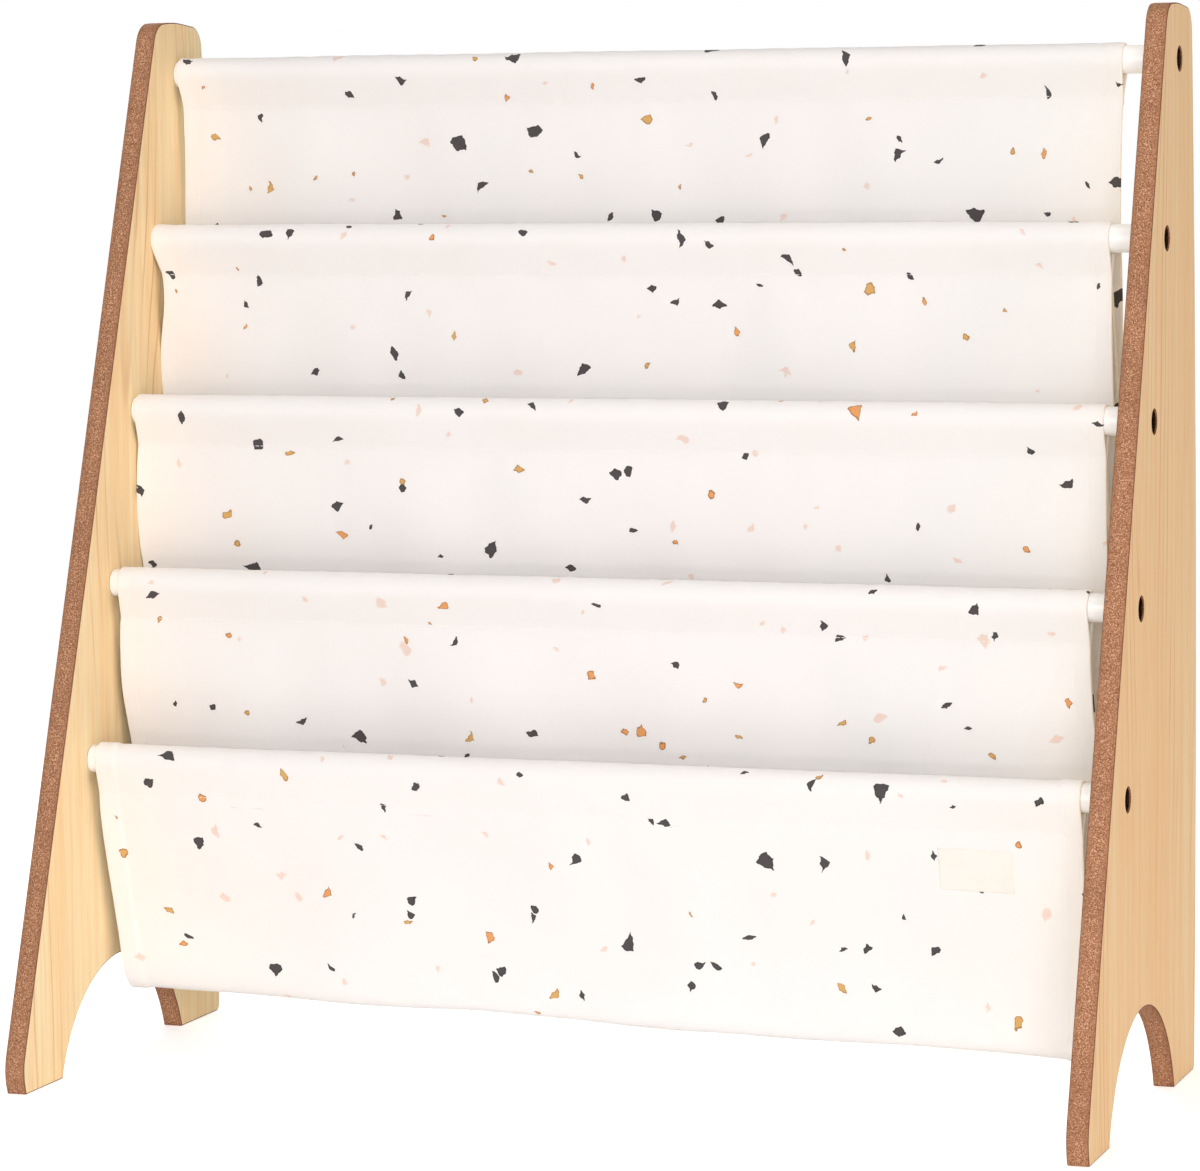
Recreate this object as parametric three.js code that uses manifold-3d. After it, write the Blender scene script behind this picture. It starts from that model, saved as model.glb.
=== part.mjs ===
// Sling bookshelf for children: two side panels, five rods bolted between them, and a cloth
// sling that hangs on the rods. The cloth goes over each rod in a stitched sleeve and drops
// between one rod and the next in a deep fold, which makes four book pockets.
//
// Millimetres. +X runs along the rods, -Y is the front and +Z is up. The origin is on the
// floor, under the middle of the shelf. Rods, sleeves and pockets count from the top.

import * as THREE from 'three';
import { mergeVertices } from 'three/addons/utils/BufferGeometryUtils.js';
import Module from 'manifold-3d';

// Overall sizes
const shelfWidth = 626;
const shelfDepth = 273;
const shelfHeight = 610;

// What holds for every piece
const fitGap = 0.3;
const cutOverrun = 2;
const weldTolerance = 0.0001;

// Side panels: laminated board with a leaning front edge
const panelThickness = 12;
const crownWidth = 63.7;
const toeRadius = 30;
const toeCentreHeight = 12.5;
const frontCornerRadius = 16;
const rearCornerRadius = 14;
const crownRadius = 150;
const crownFallShare = 0.08;
const crownPeakShare = 0.4;
const rearBowRadius = 5720;
const rearBowHeight = 240;
const heelRadius = 4;
const frontFootLength = 49.3;
const rearFootLength = 60.7;
const archRise = 60;
const cornerSteps = 5;
const crownSteps = 4;
const rearSteps = 8;
const archSteps = 18;

// Rods: round white dowels with a threaded insert in each end
const rodCount = 5;
const rodDiameter = 16;
const topRodDrop = 31.1;
const lowestRodHeight = 179.7;
const rodSetback = 40.5;
const rodSides = 20;
const pilotDiameter = 7.2;
const pilotDepth = 31;

// Threaded inserts, pressed into the rod ends
const insertDiameter = 10;
const insertLength = 15;
const insertFlangeDiameter = 12.4;
const insertFlangeThickness = 1.2;
const insertSides = 12;

// Panel bolts: flat heads that sit in a counterbore, with a hexagon socket
const boltDiameter = 6;
const boltLength = 38;
const boltTipChamfer = 1;
const boltHeadDiameter = 13.4;
const boltHeadHeight = 2.4;
const boltHeadChamfer = 0.7;
const boltHeadSink = 0.5;
const socketWidth = 5;
const socketDepth = 1.7;
const boltSides = 16;
const hexagonSides = 6;

// Sling: one hemmed length of cloth, a little to the left of the middle as it hangs
const clothThickness = 1.6;
const slingGapLeft = 6;
const slingGapRight = 16;
const seamDrop = 20;
const seamAllowance = 4;
const sleeveSteps = 14;

// Pockets, from a sleeve's seam down to the fold and up to the next sleeve's seam
const pocketDepth = 144;
const pocketSweep = 30;
const foldHalfWidth = 7;
const foldRise = 6;
const backWallBulge = 14;
const backWallHeightShares = [0.13, 0.3, 0.5, 0.75, 0.9];
const backWallBulgeShares = [0, 0.6, 1, 0.85, 0.35];
const frontWallHeightShares = [0.3, 0.65];
const frontWallSweepShares = [0.7, 0.32];
const pocketPathSteps = 20;
const pocketWidthSteps = 10;
const foldWave = 2.5;
const foldWaveCount = 2.5;
const foldWavePhaseShares = [0.1, 0.55, 0.3, 0.8];
const foldDrawIn = 4;

// Woven label, bare, on the front wall of the lowest pocket
const labelWidth = 42;
const labelHeight = 24;
const labelThickness = 0.6;
const labelInset = 36;
const labelDrop = 6.5;
const labelSteps = 4;

const material = {
  laminate: new THREE.MeshStandardMaterial({ color: 0xe8c58f, roughness: 0.5 }),
  rodPaint: new THREE.MeshStandardMaterial({ color: 0xf4f4f2, roughness: 0.35 }),
  cloth: new THREE.MeshStandardMaterial({ color: 0xfbf3ea, roughness: 0.9 }),
  label: new THREE.MeshStandardMaterial({ color: 0xfdfaf2, roughness: 0.85 }),
  bronze: new THREE.MeshStandardMaterial({ color: 0x5a4634, roughness: 0.4, metalness: 0.8 }),
  zinc: new THREE.MeshStandardMaterial({ color: 0xb9bcc0, roughness: 0.35, metalness: 0.9 }),
};

const wasm = await Module();
wasm.setup();

const shelf = new THREE.Group();

// Adds one named piece to the shelf
function add(name, geometry, pieceMaterial) {
  const mesh = new THREE.Mesh(geometry, pieceMaterial);
  mesh.name = name;
  shelf.add(mesh);
  return mesh;
}

// A closed geometry as a solid that can be cut
function solidOf(geometry) {
  const bare = geometry.clone();
  bare.deleteAttribute('normal');
  bare.deleteAttribute('uv');
  const merged = mergeVertices(bare, weldTolerance);
  return new wasm.Manifold(new wasm.Mesh({
    numProp: 3,
    vertProperties: merged.attributes.position.array,
    triVerts: merged.index.array,
  }));
}

// A cut solid as a geometry
function geometryOf(solid) {
  const mesh = solid.getMesh();
  const geometry = new THREE.BufferGeometry();
  geometry.setAttribute('position', new THREE.BufferAttribute(mesh.vertProperties, 3));
  geometry.setIndex(new THREE.BufferAttribute(mesh.triVerts, 1));
  geometry.computeVertexNormals();
  return geometry;
}

// A section drawn in Y and Z, carried along X from startX for the given length
function alongX(shape, startX, length, steps = 1) {
  const geometry = new THREE.ExtrudeGeometry(shape, { depth: length, steps, bevelEnabled: false });
  const sectionToSide = new THREE.Matrix4().makeBasis(
    new THREE.Vector3(0, 1, 0),
    new THREE.Vector3(0, 0, 1),
    new THREE.Vector3(1, 0, 0),
  );
  geometry.applyMatrix4(sectionToSide);
  geometry.translate(startX, 0, 0);
  return geometry;
}

// Points on a circle from one angle to another, both ends included
function arc(centreY, centreZ, radius, startAngle, endAngle, steps) {
  return Array.from({ length: steps + 1 }, (_, i) => {
    const angle = startAngle + (endAngle - startAngle) * i / steps;
    return new THREE.Vector2(centreY + radius * Math.cos(angle), centreZ + radius * Math.sin(angle));
  });
}

// The rounding of a corner between its two neighbours
function roundedCorner(before, corner, after, radius, steps) {
  const toBefore = before.clone().sub(corner).normalize();
  const toAfter = after.clone().sub(corner).normalize();
  const halfAngle = Math.acos(toBefore.dot(toAfter)) / 2;
  const middle = toBefore.clone().add(toAfter).normalize();
  const centre = corner.clone().addScaledVector(middle, radius / Math.sin(halfAngle));
  const reach = radius / Math.tan(halfAngle);
  const start = corner.clone().addScaledVector(toBefore, reach).sub(centre).angle();
  const end = corner.clone().addScaledVector(toAfter, reach).sub(centre).angle();
  const turn = THREE.MathUtils.euclideanModulo(end - start + Math.PI, 2 * Math.PI) - Math.PI;
  return arc(centre.x, centre.y, radius, start, start + turn, steps);
}

const innerFaceX = shelfWidth / 2 - panelThickness;

// The rear edge, a shallow bow
function rearEdgeY(z) {
  const rise = z - rearBowHeight;
  return shelfDepth / 2 - rearBowRadius + Math.sqrt(rearBowRadius ** 2 - rise ** 2);
}

// The front edge, a straight line from the crown down to where it touches the round toe
const toeCentreY = -shelfDepth / 2 + toeRadius;
const crownFrontY = rearEdgeY(shelfHeight) - crownWidth;
const crownRise = shelfHeight - toeCentreHeight;
const toeToCrown = Math.hypot(crownFrontY - toeCentreY, crownRise);
const toeTopAngle = Math.atan2(crownRise, crownFrontY - toeCentreY)
  + Math.acos(toeRadius / toeToCrown);
const toeTopY = toeCentreY + toeRadius * Math.cos(toeTopAngle);
const toeTopZ = toeCentreHeight + toeRadius * Math.sin(toeTopAngle);
const frontSlope = (crownFrontY - toeTopY) / (shelfHeight - toeTopZ);

function frontEdgeY(z) {
  return toeTopY + (z - toeTopZ) * frontSlope;
}

function panelOutline() {
  const peakY = crownFrontY + crownPeakShare * crownWidth;
  const crownAngle = Math.atan(crownFallShare);
  const peakZ = shelfHeight + crownRadius * (1 / Math.cos(crownAngle) - 1);
  const peak = new THREE.Vector2(peakY, peakZ);
  const frontTopZ = (peakZ + crownFallShare * (frontEdgeY(0) - peakY))
    / (1 - crownFallShare * frontSlope);
  const frontTop = new THREE.Vector2(frontEdgeY(frontTopZ), frontTopZ);
  const rearTopY = rearEdgeY(shelfHeight);
  const rearTop = new THREE.Vector2(rearTopY, peakZ - crownFallShare * (rearTopY - peakY));
  const heel = new THREE.Vector2(rearEdgeY(0), 0);

  const toeStart = -Math.PI + Math.asin(toeCentreHeight / toeRadius);
  const toe = arc(toeCentreY, toeCentreHeight, toeRadius,
    toeStart, toeTopAngle - 2 * Math.PI, cornerSteps);
  const rearCentreY = shelfDepth / 2 - rearBowRadius;
  const rearStart = Math.asin((shelfHeight - rearBowHeight - 2 * rearCornerRadius) / rearBowRadius);
  const rearEnd = -Math.asin((rearBowHeight - 2 * heelRadius) / rearBowRadius);
  const rear = arc(rearCentreY, rearBowHeight, rearBowRadius, rearStart, rearEnd, rearSteps);
  const archSpan = shelfDepth - frontFootLength - rearFootLength;
  const archRadius = (archSpan ** 2 / 4 + archRise ** 2) / (2 * archRise);
  const archHalfAngle = Math.asin(archSpan / 2 / archRadius);
  const archCentreY = (frontFootLength - rearFootLength) / 2;
  const arch = arc(archCentreY, archRise - archRadius, archRadius,
    Math.PI / 2 - archHalfAngle, Math.PI / 2 + archHalfAngle, archSteps);

  return [
    ...toe,
    ...roundedCorner(toe.at(-1), frontTop, peak, frontCornerRadius, cornerSteps),
    ...roundedCorner(frontTop, peak, rearTop, crownRadius, crownSteps),
    ...roundedCorner(peak, rearTop, rear[0], rearCornerRadius, cornerSteps),
    ...rear,
    ...roundedCorner(rear.at(-1), heel, arch[0], heelRadius, cornerSteps),
    ...arch,
  ];
}

// Rod centres, top rod first, on a line that follows the panels' front edge
const topRodHeight = shelfHeight - topRodDrop;
const rodPitch = (topRodHeight - lowestRodHeight) / (rodCount - 1);
const rods = Array.from({ length: rodCount }, (_, i) => {
  const z = topRodHeight - i * rodPitch;
  return { number: i + 1, y: frontEdgeY(z) + rodSetback, z };
});

// A profile of [radius, depth] points turned about an axis that runs into the shelf from the
// outer face of one panel; side is 1 for the right panel and -1 for the left one
function turned(profile, sides, side, rod) {
  const points = profile.map(([radius, depth]) => new THREE.Vector2(radius, depth));
  const geometry = new THREE.LatheGeometry(points, sides);
  geometry.rotateZ(side * Math.PI / 2);
  geometry.translate(side * shelfWidth / 2, rod.y, rod.z);
  return geometry;
}

const headRadius = boltHeadDiameter / 2;
const boltRadius = boltDiameter / 2;

function boltHoleProfile() {
  const seatRadius = headRadius + fitGap;
  const shankHoleRadius = boltRadius + fitGap;
  const seatDepth = boltHeadSink + boltHeadHeight + fitGap;
  return [
    [0, -cutOverrun],
    [seatRadius, -cutOverrun],
    [seatRadius, seatDepth],
    [shankHoleRadius, seatDepth],
    [shankHoleRadius, panelThickness + cutOverrun],
    [0, panelThickness + cutOverrun],
  ];
}

function sidePanel(side) {
  const startX = side > 0 ? innerFaceX : -shelfWidth / 2;
  let board = solidOf(alongX(new THREE.Shape(panelOutline()), startX, panelThickness));
  for (const rod of rods) {
    board = board.subtract(solidOf(turned(boltHoleProfile(), boltSides, side, rod)));
  }
  return geometryOf(board);
}

function panelBolt(side, rod) {
  const headBack = boltHeadSink + boltHeadHeight;
  const tip = boltHeadSink + boltLength;
  const bolt = solidOf(turned([
    [0, boltHeadSink],
    [headRadius - boltHeadChamfer, boltHeadSink],
    [headRadius, boltHeadSink + boltHeadChamfer],
    [headRadius, headBack],
    [boltRadius, headBack],
    [boltRadius, tip - boltTipChamfer],
    [boltRadius - boltTipChamfer, tip],
    [0, tip],
  ], boltSides, side, rod));
  const socketRadius = socketWidth / 2 / Math.cos(Math.PI / hexagonSides);
  const socket = solidOf(turned([
    [0, -cutOverrun],
    [socketRadius, -cutOverrun],
    [socketRadius, boltHeadSink + socketDepth],
    [0, boltHeadSink + socketDepth],
  ], hexagonSides, side, rod));
  return geometryOf(bolt.subtract(socket));
}

const rodEndDepth = panelThickness + fitGap;
const insertRadius = insertDiameter / 2;
const flangeRadius = insertFlangeDiameter / 2;

function rodInsert(side, rod) {
  const boreRadius = boltRadius + fitGap;
  const end = rodEndDepth + insertLength;
  const flangeBack = rodEndDepth + insertFlangeThickness;
  return turned([
    [boreRadius, rodEndDepth],
    [flangeRadius, rodEndDepth],
    [flangeRadius, flangeBack],
    [insertRadius, flangeBack],
    [insertRadius, end],
    [boreRadius, end],
    [boreRadius, rodEndDepth],
  ], insertSides, side, rod);
}

// A rod with a stepped bore in each end, for the insert and for the bolt's tip
function rodGeometry(rod) {
  const boreSteps = [
    [0, rodEndDepth + pilotDepth],
    [pilotDiameter / 2, rodEndDepth + pilotDepth],
    [pilotDiameter / 2, rodEndDepth + insertLength + fitGap],
    [insertRadius + fitGap, rodEndDepth + insertLength + fitGap],
    [insertRadius + fitGap, rodEndDepth + insertFlangeThickness + fitGap],
    [flangeRadius + fitGap, rodEndDepth + insertFlangeThickness + fitGap],
    [flangeRadius + fitGap, rodEndDepth],
    [rodDiameter / 2, rodEndDepth],
  ];
  const farEnd = boreSteps.map(([radius, depth]) => [radius, shelfWidth - depth]).reverse();
  return turned([...boreSteps, ...farEnd], rodSides, 1, rod);
}

// Side hems of the sling
const slingLeftX = -innerFaceX + slingGapLeft;
const slingRightX = innerFaceX - slingGapRight;
const slingWidth = slingRightX - slingLeftX;

// Sleeve: the cloth goes over the rod and its two layers meet in a seam below it
const sleeveInnerRadius = rodDiameter / 2 + fitGap;
const sleeveOuterRadius = sleeveInnerRadius + clothThickness;
const seamHalfThickness = clothThickness + fitGap / 2;

// Over the top of a circle, from its tangent to one point below it to its tangent to another
function overCircle(rod, radius, footY, footDrop) {
  const footAngle = Math.atan2(-footDrop, footY);
  const spread = Math.acos(radius / Math.hypot(footY, footDrop));
  const start = footAngle + spread;
  return arc(rod.y, rod.z, radius, start, Math.PI - start, sleeveSteps);
}

function sleeveShape(rod) {
  const seamEndZ = rod.z - seamDrop - seamAllowance;
  const shape = new THREE.Shape([
    new THREE.Vector2(rod.y - seamHalfThickness, seamEndZ),
    new THREE.Vector2(rod.y + seamHalfThickness, seamEndZ),
    new THREE.Vector2(rod.y + seamHalfThickness, rod.z - seamDrop),
    ...overCircle(rod, sleeveOuterRadius, seamHalfThickness, seamDrop),
    new THREE.Vector2(rod.y - seamHalfThickness, rod.z - seamDrop),
  ]);
  const innerDrop = seamDrop - clothThickness;
  shape.holes.push(new THREE.Path([
    new THREE.Vector2(rod.y, rod.z - innerDrop),
    ...overCircle(rod, sleeveInnerRadius, 0, innerDrop),
  ]));
  return shape;
}

// Middle line of a pocket's cloth: down from the back rod's seam, round the fold at the
// bottom and up to the front rod's seam
function pocketPath(backRod, frontRod) {
  const seamEnd = seamDrop + seamAllowance + fitGap;
  const layerOffset = seamHalfThickness - clothThickness / 2;
  const backTop = { y: backRod.y - layerOffset, z: backRod.z - seamEnd };
  const frontTop = { y: frontRod.y + layerOffset, z: frontRod.z - seamEnd };
  const fold = { y: frontRod.y + pocketSweep, z: frontRod.z - pocketDepth + clothThickness / 2 };
  const backHeight = backTop.z - fold.z;
  const frontHeight = frontTop.z - fold.z;
  const points = [
    [backTop.y, backTop.z],
    ...backWallHeightShares.map((share, i) => [
      backTop.y + backWallBulgeShares[i] * backWallBulge,
      backTop.z - share * backHeight,
    ]),
    [fold.y + foldHalfWidth, fold.z + foldRise],
    [fold.y, fold.z],
    [fold.y - foldHalfWidth, fold.z + foldRise],
    ...frontWallHeightShares.map((share, i) => [
      frontTop.y + frontWallSweepShares[i] * (fold.y - frontTop.y),
      fold.z + share * frontHeight,
    ]),
    [frontTop.y, frontTop.z],
  ];
  return new THREE.CatmullRomCurve3(points.map(([y, z]) => new THREE.Vector3(0, y, z)));
}

// A strip of even thickness beside a path, between two distances to its right
function stripShape(path, startShare, endShare, steps, nearSide, farSide) {
  const shares = Array.from({ length: steps + 1 },
    (_, i) => startShare + (endShare - startShare) * i / steps);
  const side = (distance) => shares.map((share) => {
    const point = path.getPointAt(share);
    const along = path.getTangentAt(share);
    return new THREE.Vector2(point.y - along.z * distance, point.z + along.y * distance);
  });
  return new THREE.Shape([...side(nearSide), ...side(farSide).reverse()]);
}

// The soft form that hanging gives the cloth below the front seam: a shallow wave along the
// fold, and side edges that draw in
function hang(geometry, frontRod, wavePhase) {
  const seamZ = frontRod.z - seamDrop - seamAllowance - fitGap;
  const foldZ = frontRod.z - pocketDepth;
  const position = geometry.attributes.position;
  for (let i = 0; i < position.count; i += 1) {
    const drop = THREE.MathUtils.clamp((seamZ - position.getZ(i)) / (seamZ - foldZ), 0, 1);
    const across = (position.getX(i) - slingLeftX) / slingWidth - 0.5;
    const wave = Math.sin(2 * Math.PI * (foldWaveCount * across + wavePhase));
    position.setX(i, position.getX(i) - 2 * foldDrawIn * across * drop ** 2);
    position.setY(i, position.getY(i) + foldWave * wave * drop ** 2);
  }
  geometry.computeVertexNormals();
  return geometry;
}

function pocket(index) {
  const path = pocketPath(rods[index], rods[index + 1]);
  const section = stripShape(path, 0, 1, pocketPathSteps, -clothThickness / 2, clothThickness / 2);
  const geometry = alongX(section, slingLeftX, slingWidth, pocketWidthSteps);
  return hang(geometry, rods[index + 1], foldWavePhaseShares[index]);
}

function label() {
  const index = rodCount - 2;
  const path = pocketPath(rods[index], rods[index + 1]);
  const length = path.getLength();
  const topShare = 1 - labelDrop / length;
  const bottomShare = topShare - labelHeight / length;
  const near = clothThickness / 2 + fitGap;
  const section = stripShape(path, bottomShare, topShare, labelSteps, -near - labelThickness, -near);
  const startX = slingRightX - labelInset - labelWidth;
  const geometry = alongX(section, startX, labelWidth, labelSteps);
  return hang(geometry, rods[index + 1], foldWavePhaseShares[index]);
}

for (const [sideName, side] of [['left', -1], ['right', 1]]) {
  add(`side_panel_${sideName}`, sidePanel(side), material.laminate);
  for (const rod of rods) {
    add(`panel_bolt_${sideName}_${rod.number}`, panelBolt(side, rod), material.bronze);
    add(`rod_insert_${sideName}_${rod.number}`, rodInsert(side, rod), material.zinc);
  }
}

for (const rod of rods) {
  add(`rod_${rod.number}`, rodGeometry(rod), material.rodPaint);
  const sleeve = alongX(sleeveShape(rod), slingLeftX, slingWidth);
  add(`sling_sleeve_${rod.number}`, sleeve, material.cloth);
}

for (let index = 0; index < rodCount - 1; index += 1) {
  add(`sling_pocket_${index + 1}`, pocket(index), material.cloth);
}

add('sling_label', label(), material.label);

export default shelf;
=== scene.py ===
"""Looks of a sling bookshelf for children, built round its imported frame.

Metres. +X runs along the rods, -Y is the front and +Z is up; the shelf stands on z = 0. Rods,
sleeves and pockets count from the top.
"""

import sys
import logging
import math
from dataclasses import dataclass, field
from enum import Enum

import bpy
import numpy as np
from mathutils import Matrix, Vector
from mathutils.geometry import tessellate_polygon


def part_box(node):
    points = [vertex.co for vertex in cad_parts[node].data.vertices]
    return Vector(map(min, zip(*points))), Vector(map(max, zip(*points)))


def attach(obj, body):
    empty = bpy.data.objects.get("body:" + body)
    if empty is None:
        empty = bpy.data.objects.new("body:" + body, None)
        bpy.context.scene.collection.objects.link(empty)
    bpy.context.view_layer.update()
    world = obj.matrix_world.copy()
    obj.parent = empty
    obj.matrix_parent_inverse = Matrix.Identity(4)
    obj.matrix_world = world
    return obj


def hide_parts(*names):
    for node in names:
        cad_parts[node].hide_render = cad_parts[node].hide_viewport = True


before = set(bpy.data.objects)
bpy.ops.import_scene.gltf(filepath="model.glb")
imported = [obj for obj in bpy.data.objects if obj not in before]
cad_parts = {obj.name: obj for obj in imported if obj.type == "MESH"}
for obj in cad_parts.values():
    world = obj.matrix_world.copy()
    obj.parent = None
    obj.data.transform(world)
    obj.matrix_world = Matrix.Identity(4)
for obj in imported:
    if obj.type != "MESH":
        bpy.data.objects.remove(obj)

MM = 0.001
BODY = "root"
ROD_COUNT = 5
DARK_SHARE = 0.45  # Part of the print's chips that are dark
log = logging.getLogger("sling_bookshelf")

Array = np.ndarray
Faces = list[list[int]]
Triple = tuple[float, float, float]
Colour = tuple[float, float, float, float]
Object = bpy.types.Object
Material = bpy.types.Material
Socket = bpy.types.NodeSocket
Sockets = bpy.types.NodeSocketCollection
Value = Socket | float
WHITE: Colour = (1.0, 1.0, 1.0, 1.0)


class Slot(Enum):
    """The record's material slots."""

    LAMINATE = "panel_laminate"
    PAINT = "rod_paint"
    BRONZE = "bolt_bronze"
    ZINC = "insert_zinc"
    CLOTH = "sling_cloth"
    LABEL = "label_cloth"


class Side(Enum):
    """The two ends of the shelf, as the sign of X."""

    LEFT = -1
    RIGHT = 1


def srgb(red: int, green: int, blue: int) -> Colour:
    """A colour that is written as screen values, as the linear values that a shader takes.

    Args:
        red: Screen red, 0 to 255.
        green: Screen green, 0 to 255.
        blue: Screen blue, 0 to 255.

    Returns:
        Linear red, green and blue, and an alpha of 1.
    """
    share = np.array([red, green, blue]) / 255
    linear = np.where(share <= 0.04045, share / 12.92, ((share + 0.055) / 1.055) ** 2.4)
    return (*[float(value) for value in linear], 1.0)


# Surfaces


def grid_faces(rows: int, columns: int, wrap_rows: bool = False, wrap_columns: bool = False) -> Array:
    """Quads of a grid of points that is stored row by row.

    A quad joins (i, j) to (i, j + 1), (i + 1, j + 1) and (i + 1, j). A wrapped direction also
    joins its last line of points to its first.

    Args:
        rows: Rows of points.
        columns: Points in each row.
        wrap_rows: Whether the last row joins the first.
        wrap_columns: Whether the last column joins the first.

    Returns:
        An array of quads, four point numbers each.
    """
    i = np.arange(rows if wrap_rows else rows - 1)[:, None]
    j = np.arange(columns if wrap_columns else columns - 1)[None, :]
    below, beside = (i + 1) % rows, (j + 1) % columns
    corners = [i * columns + j, i * columns + beside, below * columns + beside, below * columns + j]
    return np.stack([np.broadcast_to(c, (i.size, j.size)) for c in corners], -1).reshape(-1, 4)


def capped_tube(rings: int, sides: int) -> Faces:
    """Faces of a tube whose points are stored ring by ring, with a flat face at each end.

    Args:
        rings: Rings of points.
        sides: Points in each ring.

    Returns:
        The wall's quads, then the first ring's face and the last ring's.
    """
    faces = grid_faces(rings, sides, wrap_columns=True).tolist()
    faces.append(list(range(sides))[::-1])
    faces.append(list(range((rings - 1) * sides, rings * sides)))
    return faces


def joined(parts: list[tuple[Array, Faces]]) -> tuple[Array, Faces]:
    """Several surfaces as one, with the point numbers in their faces counted on.

    Args:
        parts: Points and faces of each.

    Returns:
        All points, and all faces.
    """
    starts = np.cumsum([0] + [len(points) for points, _ in parts]).tolist()
    faces = [[first + i for i in face] for first, (_, own) in zip(starts, parts) for face in own]
    return np.concatenate([points for points, _ in parts]), faces


def outward(points: Array, faces: Faces) -> Faces:
    """The faces of a closed surface, turned so that they point out.

    The volume is the sum, over the fan triangles of each face, of a . (b x c) / 6. Where it is
    negative every face is reversed.

    Args:
        points: The surface's points.
        faces: Its faces, all wound alike.

    Returns:
        The faces, wound so that the volume is positive.
    """
    fans = np.array([(f[0], f[i], f[i + 1]) for f in faces for i in range(1, len(f) - 1)])
    a, b, c = points[fans[:, 0]], points[fans[:, 1]], points[fans[:, 2]]
    volume = np.einsum("ij,ij->i", a, np.cross(b, c)).sum()
    return [f[::-1] for f in faces] if volume < 0 else faces


@dataclass
class Surface:
    """Points and faces of one piece, with what its faces are dressed in."""

    points: Array
    faces: Faces
    face_materials: Array | None = None
    uv: Array | None = None
    sharp_points: Array | None = None
    crease_angle: float | None = None

    def piece(self, name: str, materials: list[Material], slot: Slot, replaces: list[str]) -> Object:
        """Makes the surface a piece that rides with the shelf.

        Args:
            name: The piece's name.
            materials: Its materials, in the order that face_materials counts them.
            slot: The record's slot that its finish comes from; not used.
            replaces: The frame's nodes that it stands for.

        Returns:
            The piece, linked into the scene.
        """
        mesh = bpy.data.meshes.new(name)
        mesh.from_pydata(self.points.tolist(), [], self.faces)
        mesh.polygons.foreach_set("use_smooth", np.ones(len(mesh.polygons), bool))
        for material in materials:
            mesh.materials.append(material)
        if self.face_materials is not None:
            mesh.polygons.foreach_set("material_index", self.face_materials.astype(np.int32))
        if self.uv is not None:
            corner = np.zeros(len(mesh.loops), np.int32)
            mesh.loops.foreach_get("vertex_index", corner)
            layer = mesh.uv_layers.new(name="cut")
            layer.data.foreach_set("uv", self.uv[corner].astype(np.float32).ravel())
        if self.crease_angle is not None:
            mesh.set_sharp_from_angle(angle=self.crease_angle)
        if self.sharp_points is not None:
            ends = np.zeros(2 * len(mesh.edges), np.int32)
            mesh.edges.foreach_get("vertices", ends)
            sharp = self.sharp_points[ends.reshape(-1, 2)].all(1)
            mesh.edges.foreach_set("use_edge_sharp", sharp)
        mesh.update()
        mesh.validate()
        obj = bpy.data.objects.new(name, mesh)
        bpy.context.scene.collection.objects.link(obj)
        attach(obj, BODY)
        if replaces:
            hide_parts(*replaces)
        log.info("%s: %d faces, stands for %s", name, len(self.faces), ", ".join(replaces) or "nothing")
        return obj


@dataclass(frozen=True)
class Axis:
    """The line of a rod: the middle of its section, its radius and its two ends."""

    number: int
    y: float
    z: float
    radius: float
    left: float
    right: float

    @classmethod
    def of(cls, number: int) -> "Axis":
        """The axis of the frame's rod of that number."""
        low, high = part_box(f"rod_{number}")
        return cls(number, (low.y + high.y) / 2, (low.z + high.z) / 2, (high.z - low.z) / 2, low.x, high.x)


@dataclass
class Turned:
    """A surface turned about a line along X.

    Ring i has radius r[i] at depth d[i]. Where hexagon[i] is 1 the ring is a hexagon whose flats
    are r[i] from the line: r / cos(a), with a the angle from the middle of the nearest flat. Where
    thread[i] is not 0, a ridge of that height winds round with the depth, one turn for each pitch.
    """

    radius: Array
    depth: Array
    hexagon: Array | None = None
    thread: Array | None = None
    pitch: float = MM
    sides: int = 48
    closed_profile: bool = False
    capped: bool = True

    def surface(self, axis: Axis, start: float, direction: int) -> tuple[Array, Faces]:
        """Points and faces of the turned surface.

        Args:
            axis: The line that it turns about.
            start: X where the depth is 0.
            direction: 1 where the depth grows along +X, and -1 where it grows along -X.

        Returns:
            The points, ring by ring, and the faces.
        """
        angle = np.arange(self.sides) * 2 * math.pi / self.sides
        from_flat = np.mod(angle, math.pi / 3) - math.pi / 6
        hexagon = np.zeros_like(self.radius) if self.hexagon is None else self.hexagon
        radius = self.radius[:, None] * (1 + hexagon[:, None] * (1 / np.cos(from_flat) - 1))
        if self.thread is not None:
            turn = np.mod(self.depth[:, None] / self.pitch - angle / (2 * math.pi), 1)
            radius = radius - self.thread[:, None] * np.abs(2 * turn - 1)
        x = np.broadcast_to((start + direction * self.depth)[:, None], radius.shape)
        points = np.stack([x, axis.y + radius * np.cos(angle), axis.z + radius * np.sin(angle)], -1)
        rings = len(self.radius)
        if self.capped and not self.closed_profile:
            return points.reshape(-1, 3), capped_tube(rings, self.sides)
        return points.reshape(-1, 3), grid_faces(rings, self.sides, self.closed_profile, True).tolist()


def travelled(points: Array) -> Array:
    """Distance along a line of points from its start, at each point."""
    return np.concatenate([[0], np.cumsum(np.linalg.norm(np.diff(points, axis=0), axis=1))])


def arc(centre: Array, radius: float, start: float, end: float, steps: int) -> Array:
    """Points on a circle in the YZ plane: centre + radius (cos a, sin a), a from start to end."""
    angle = np.linspace(start, end, steps + 1)
    return centre + radius * np.stack([np.cos(angle), np.sin(angle)], -1)


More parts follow.
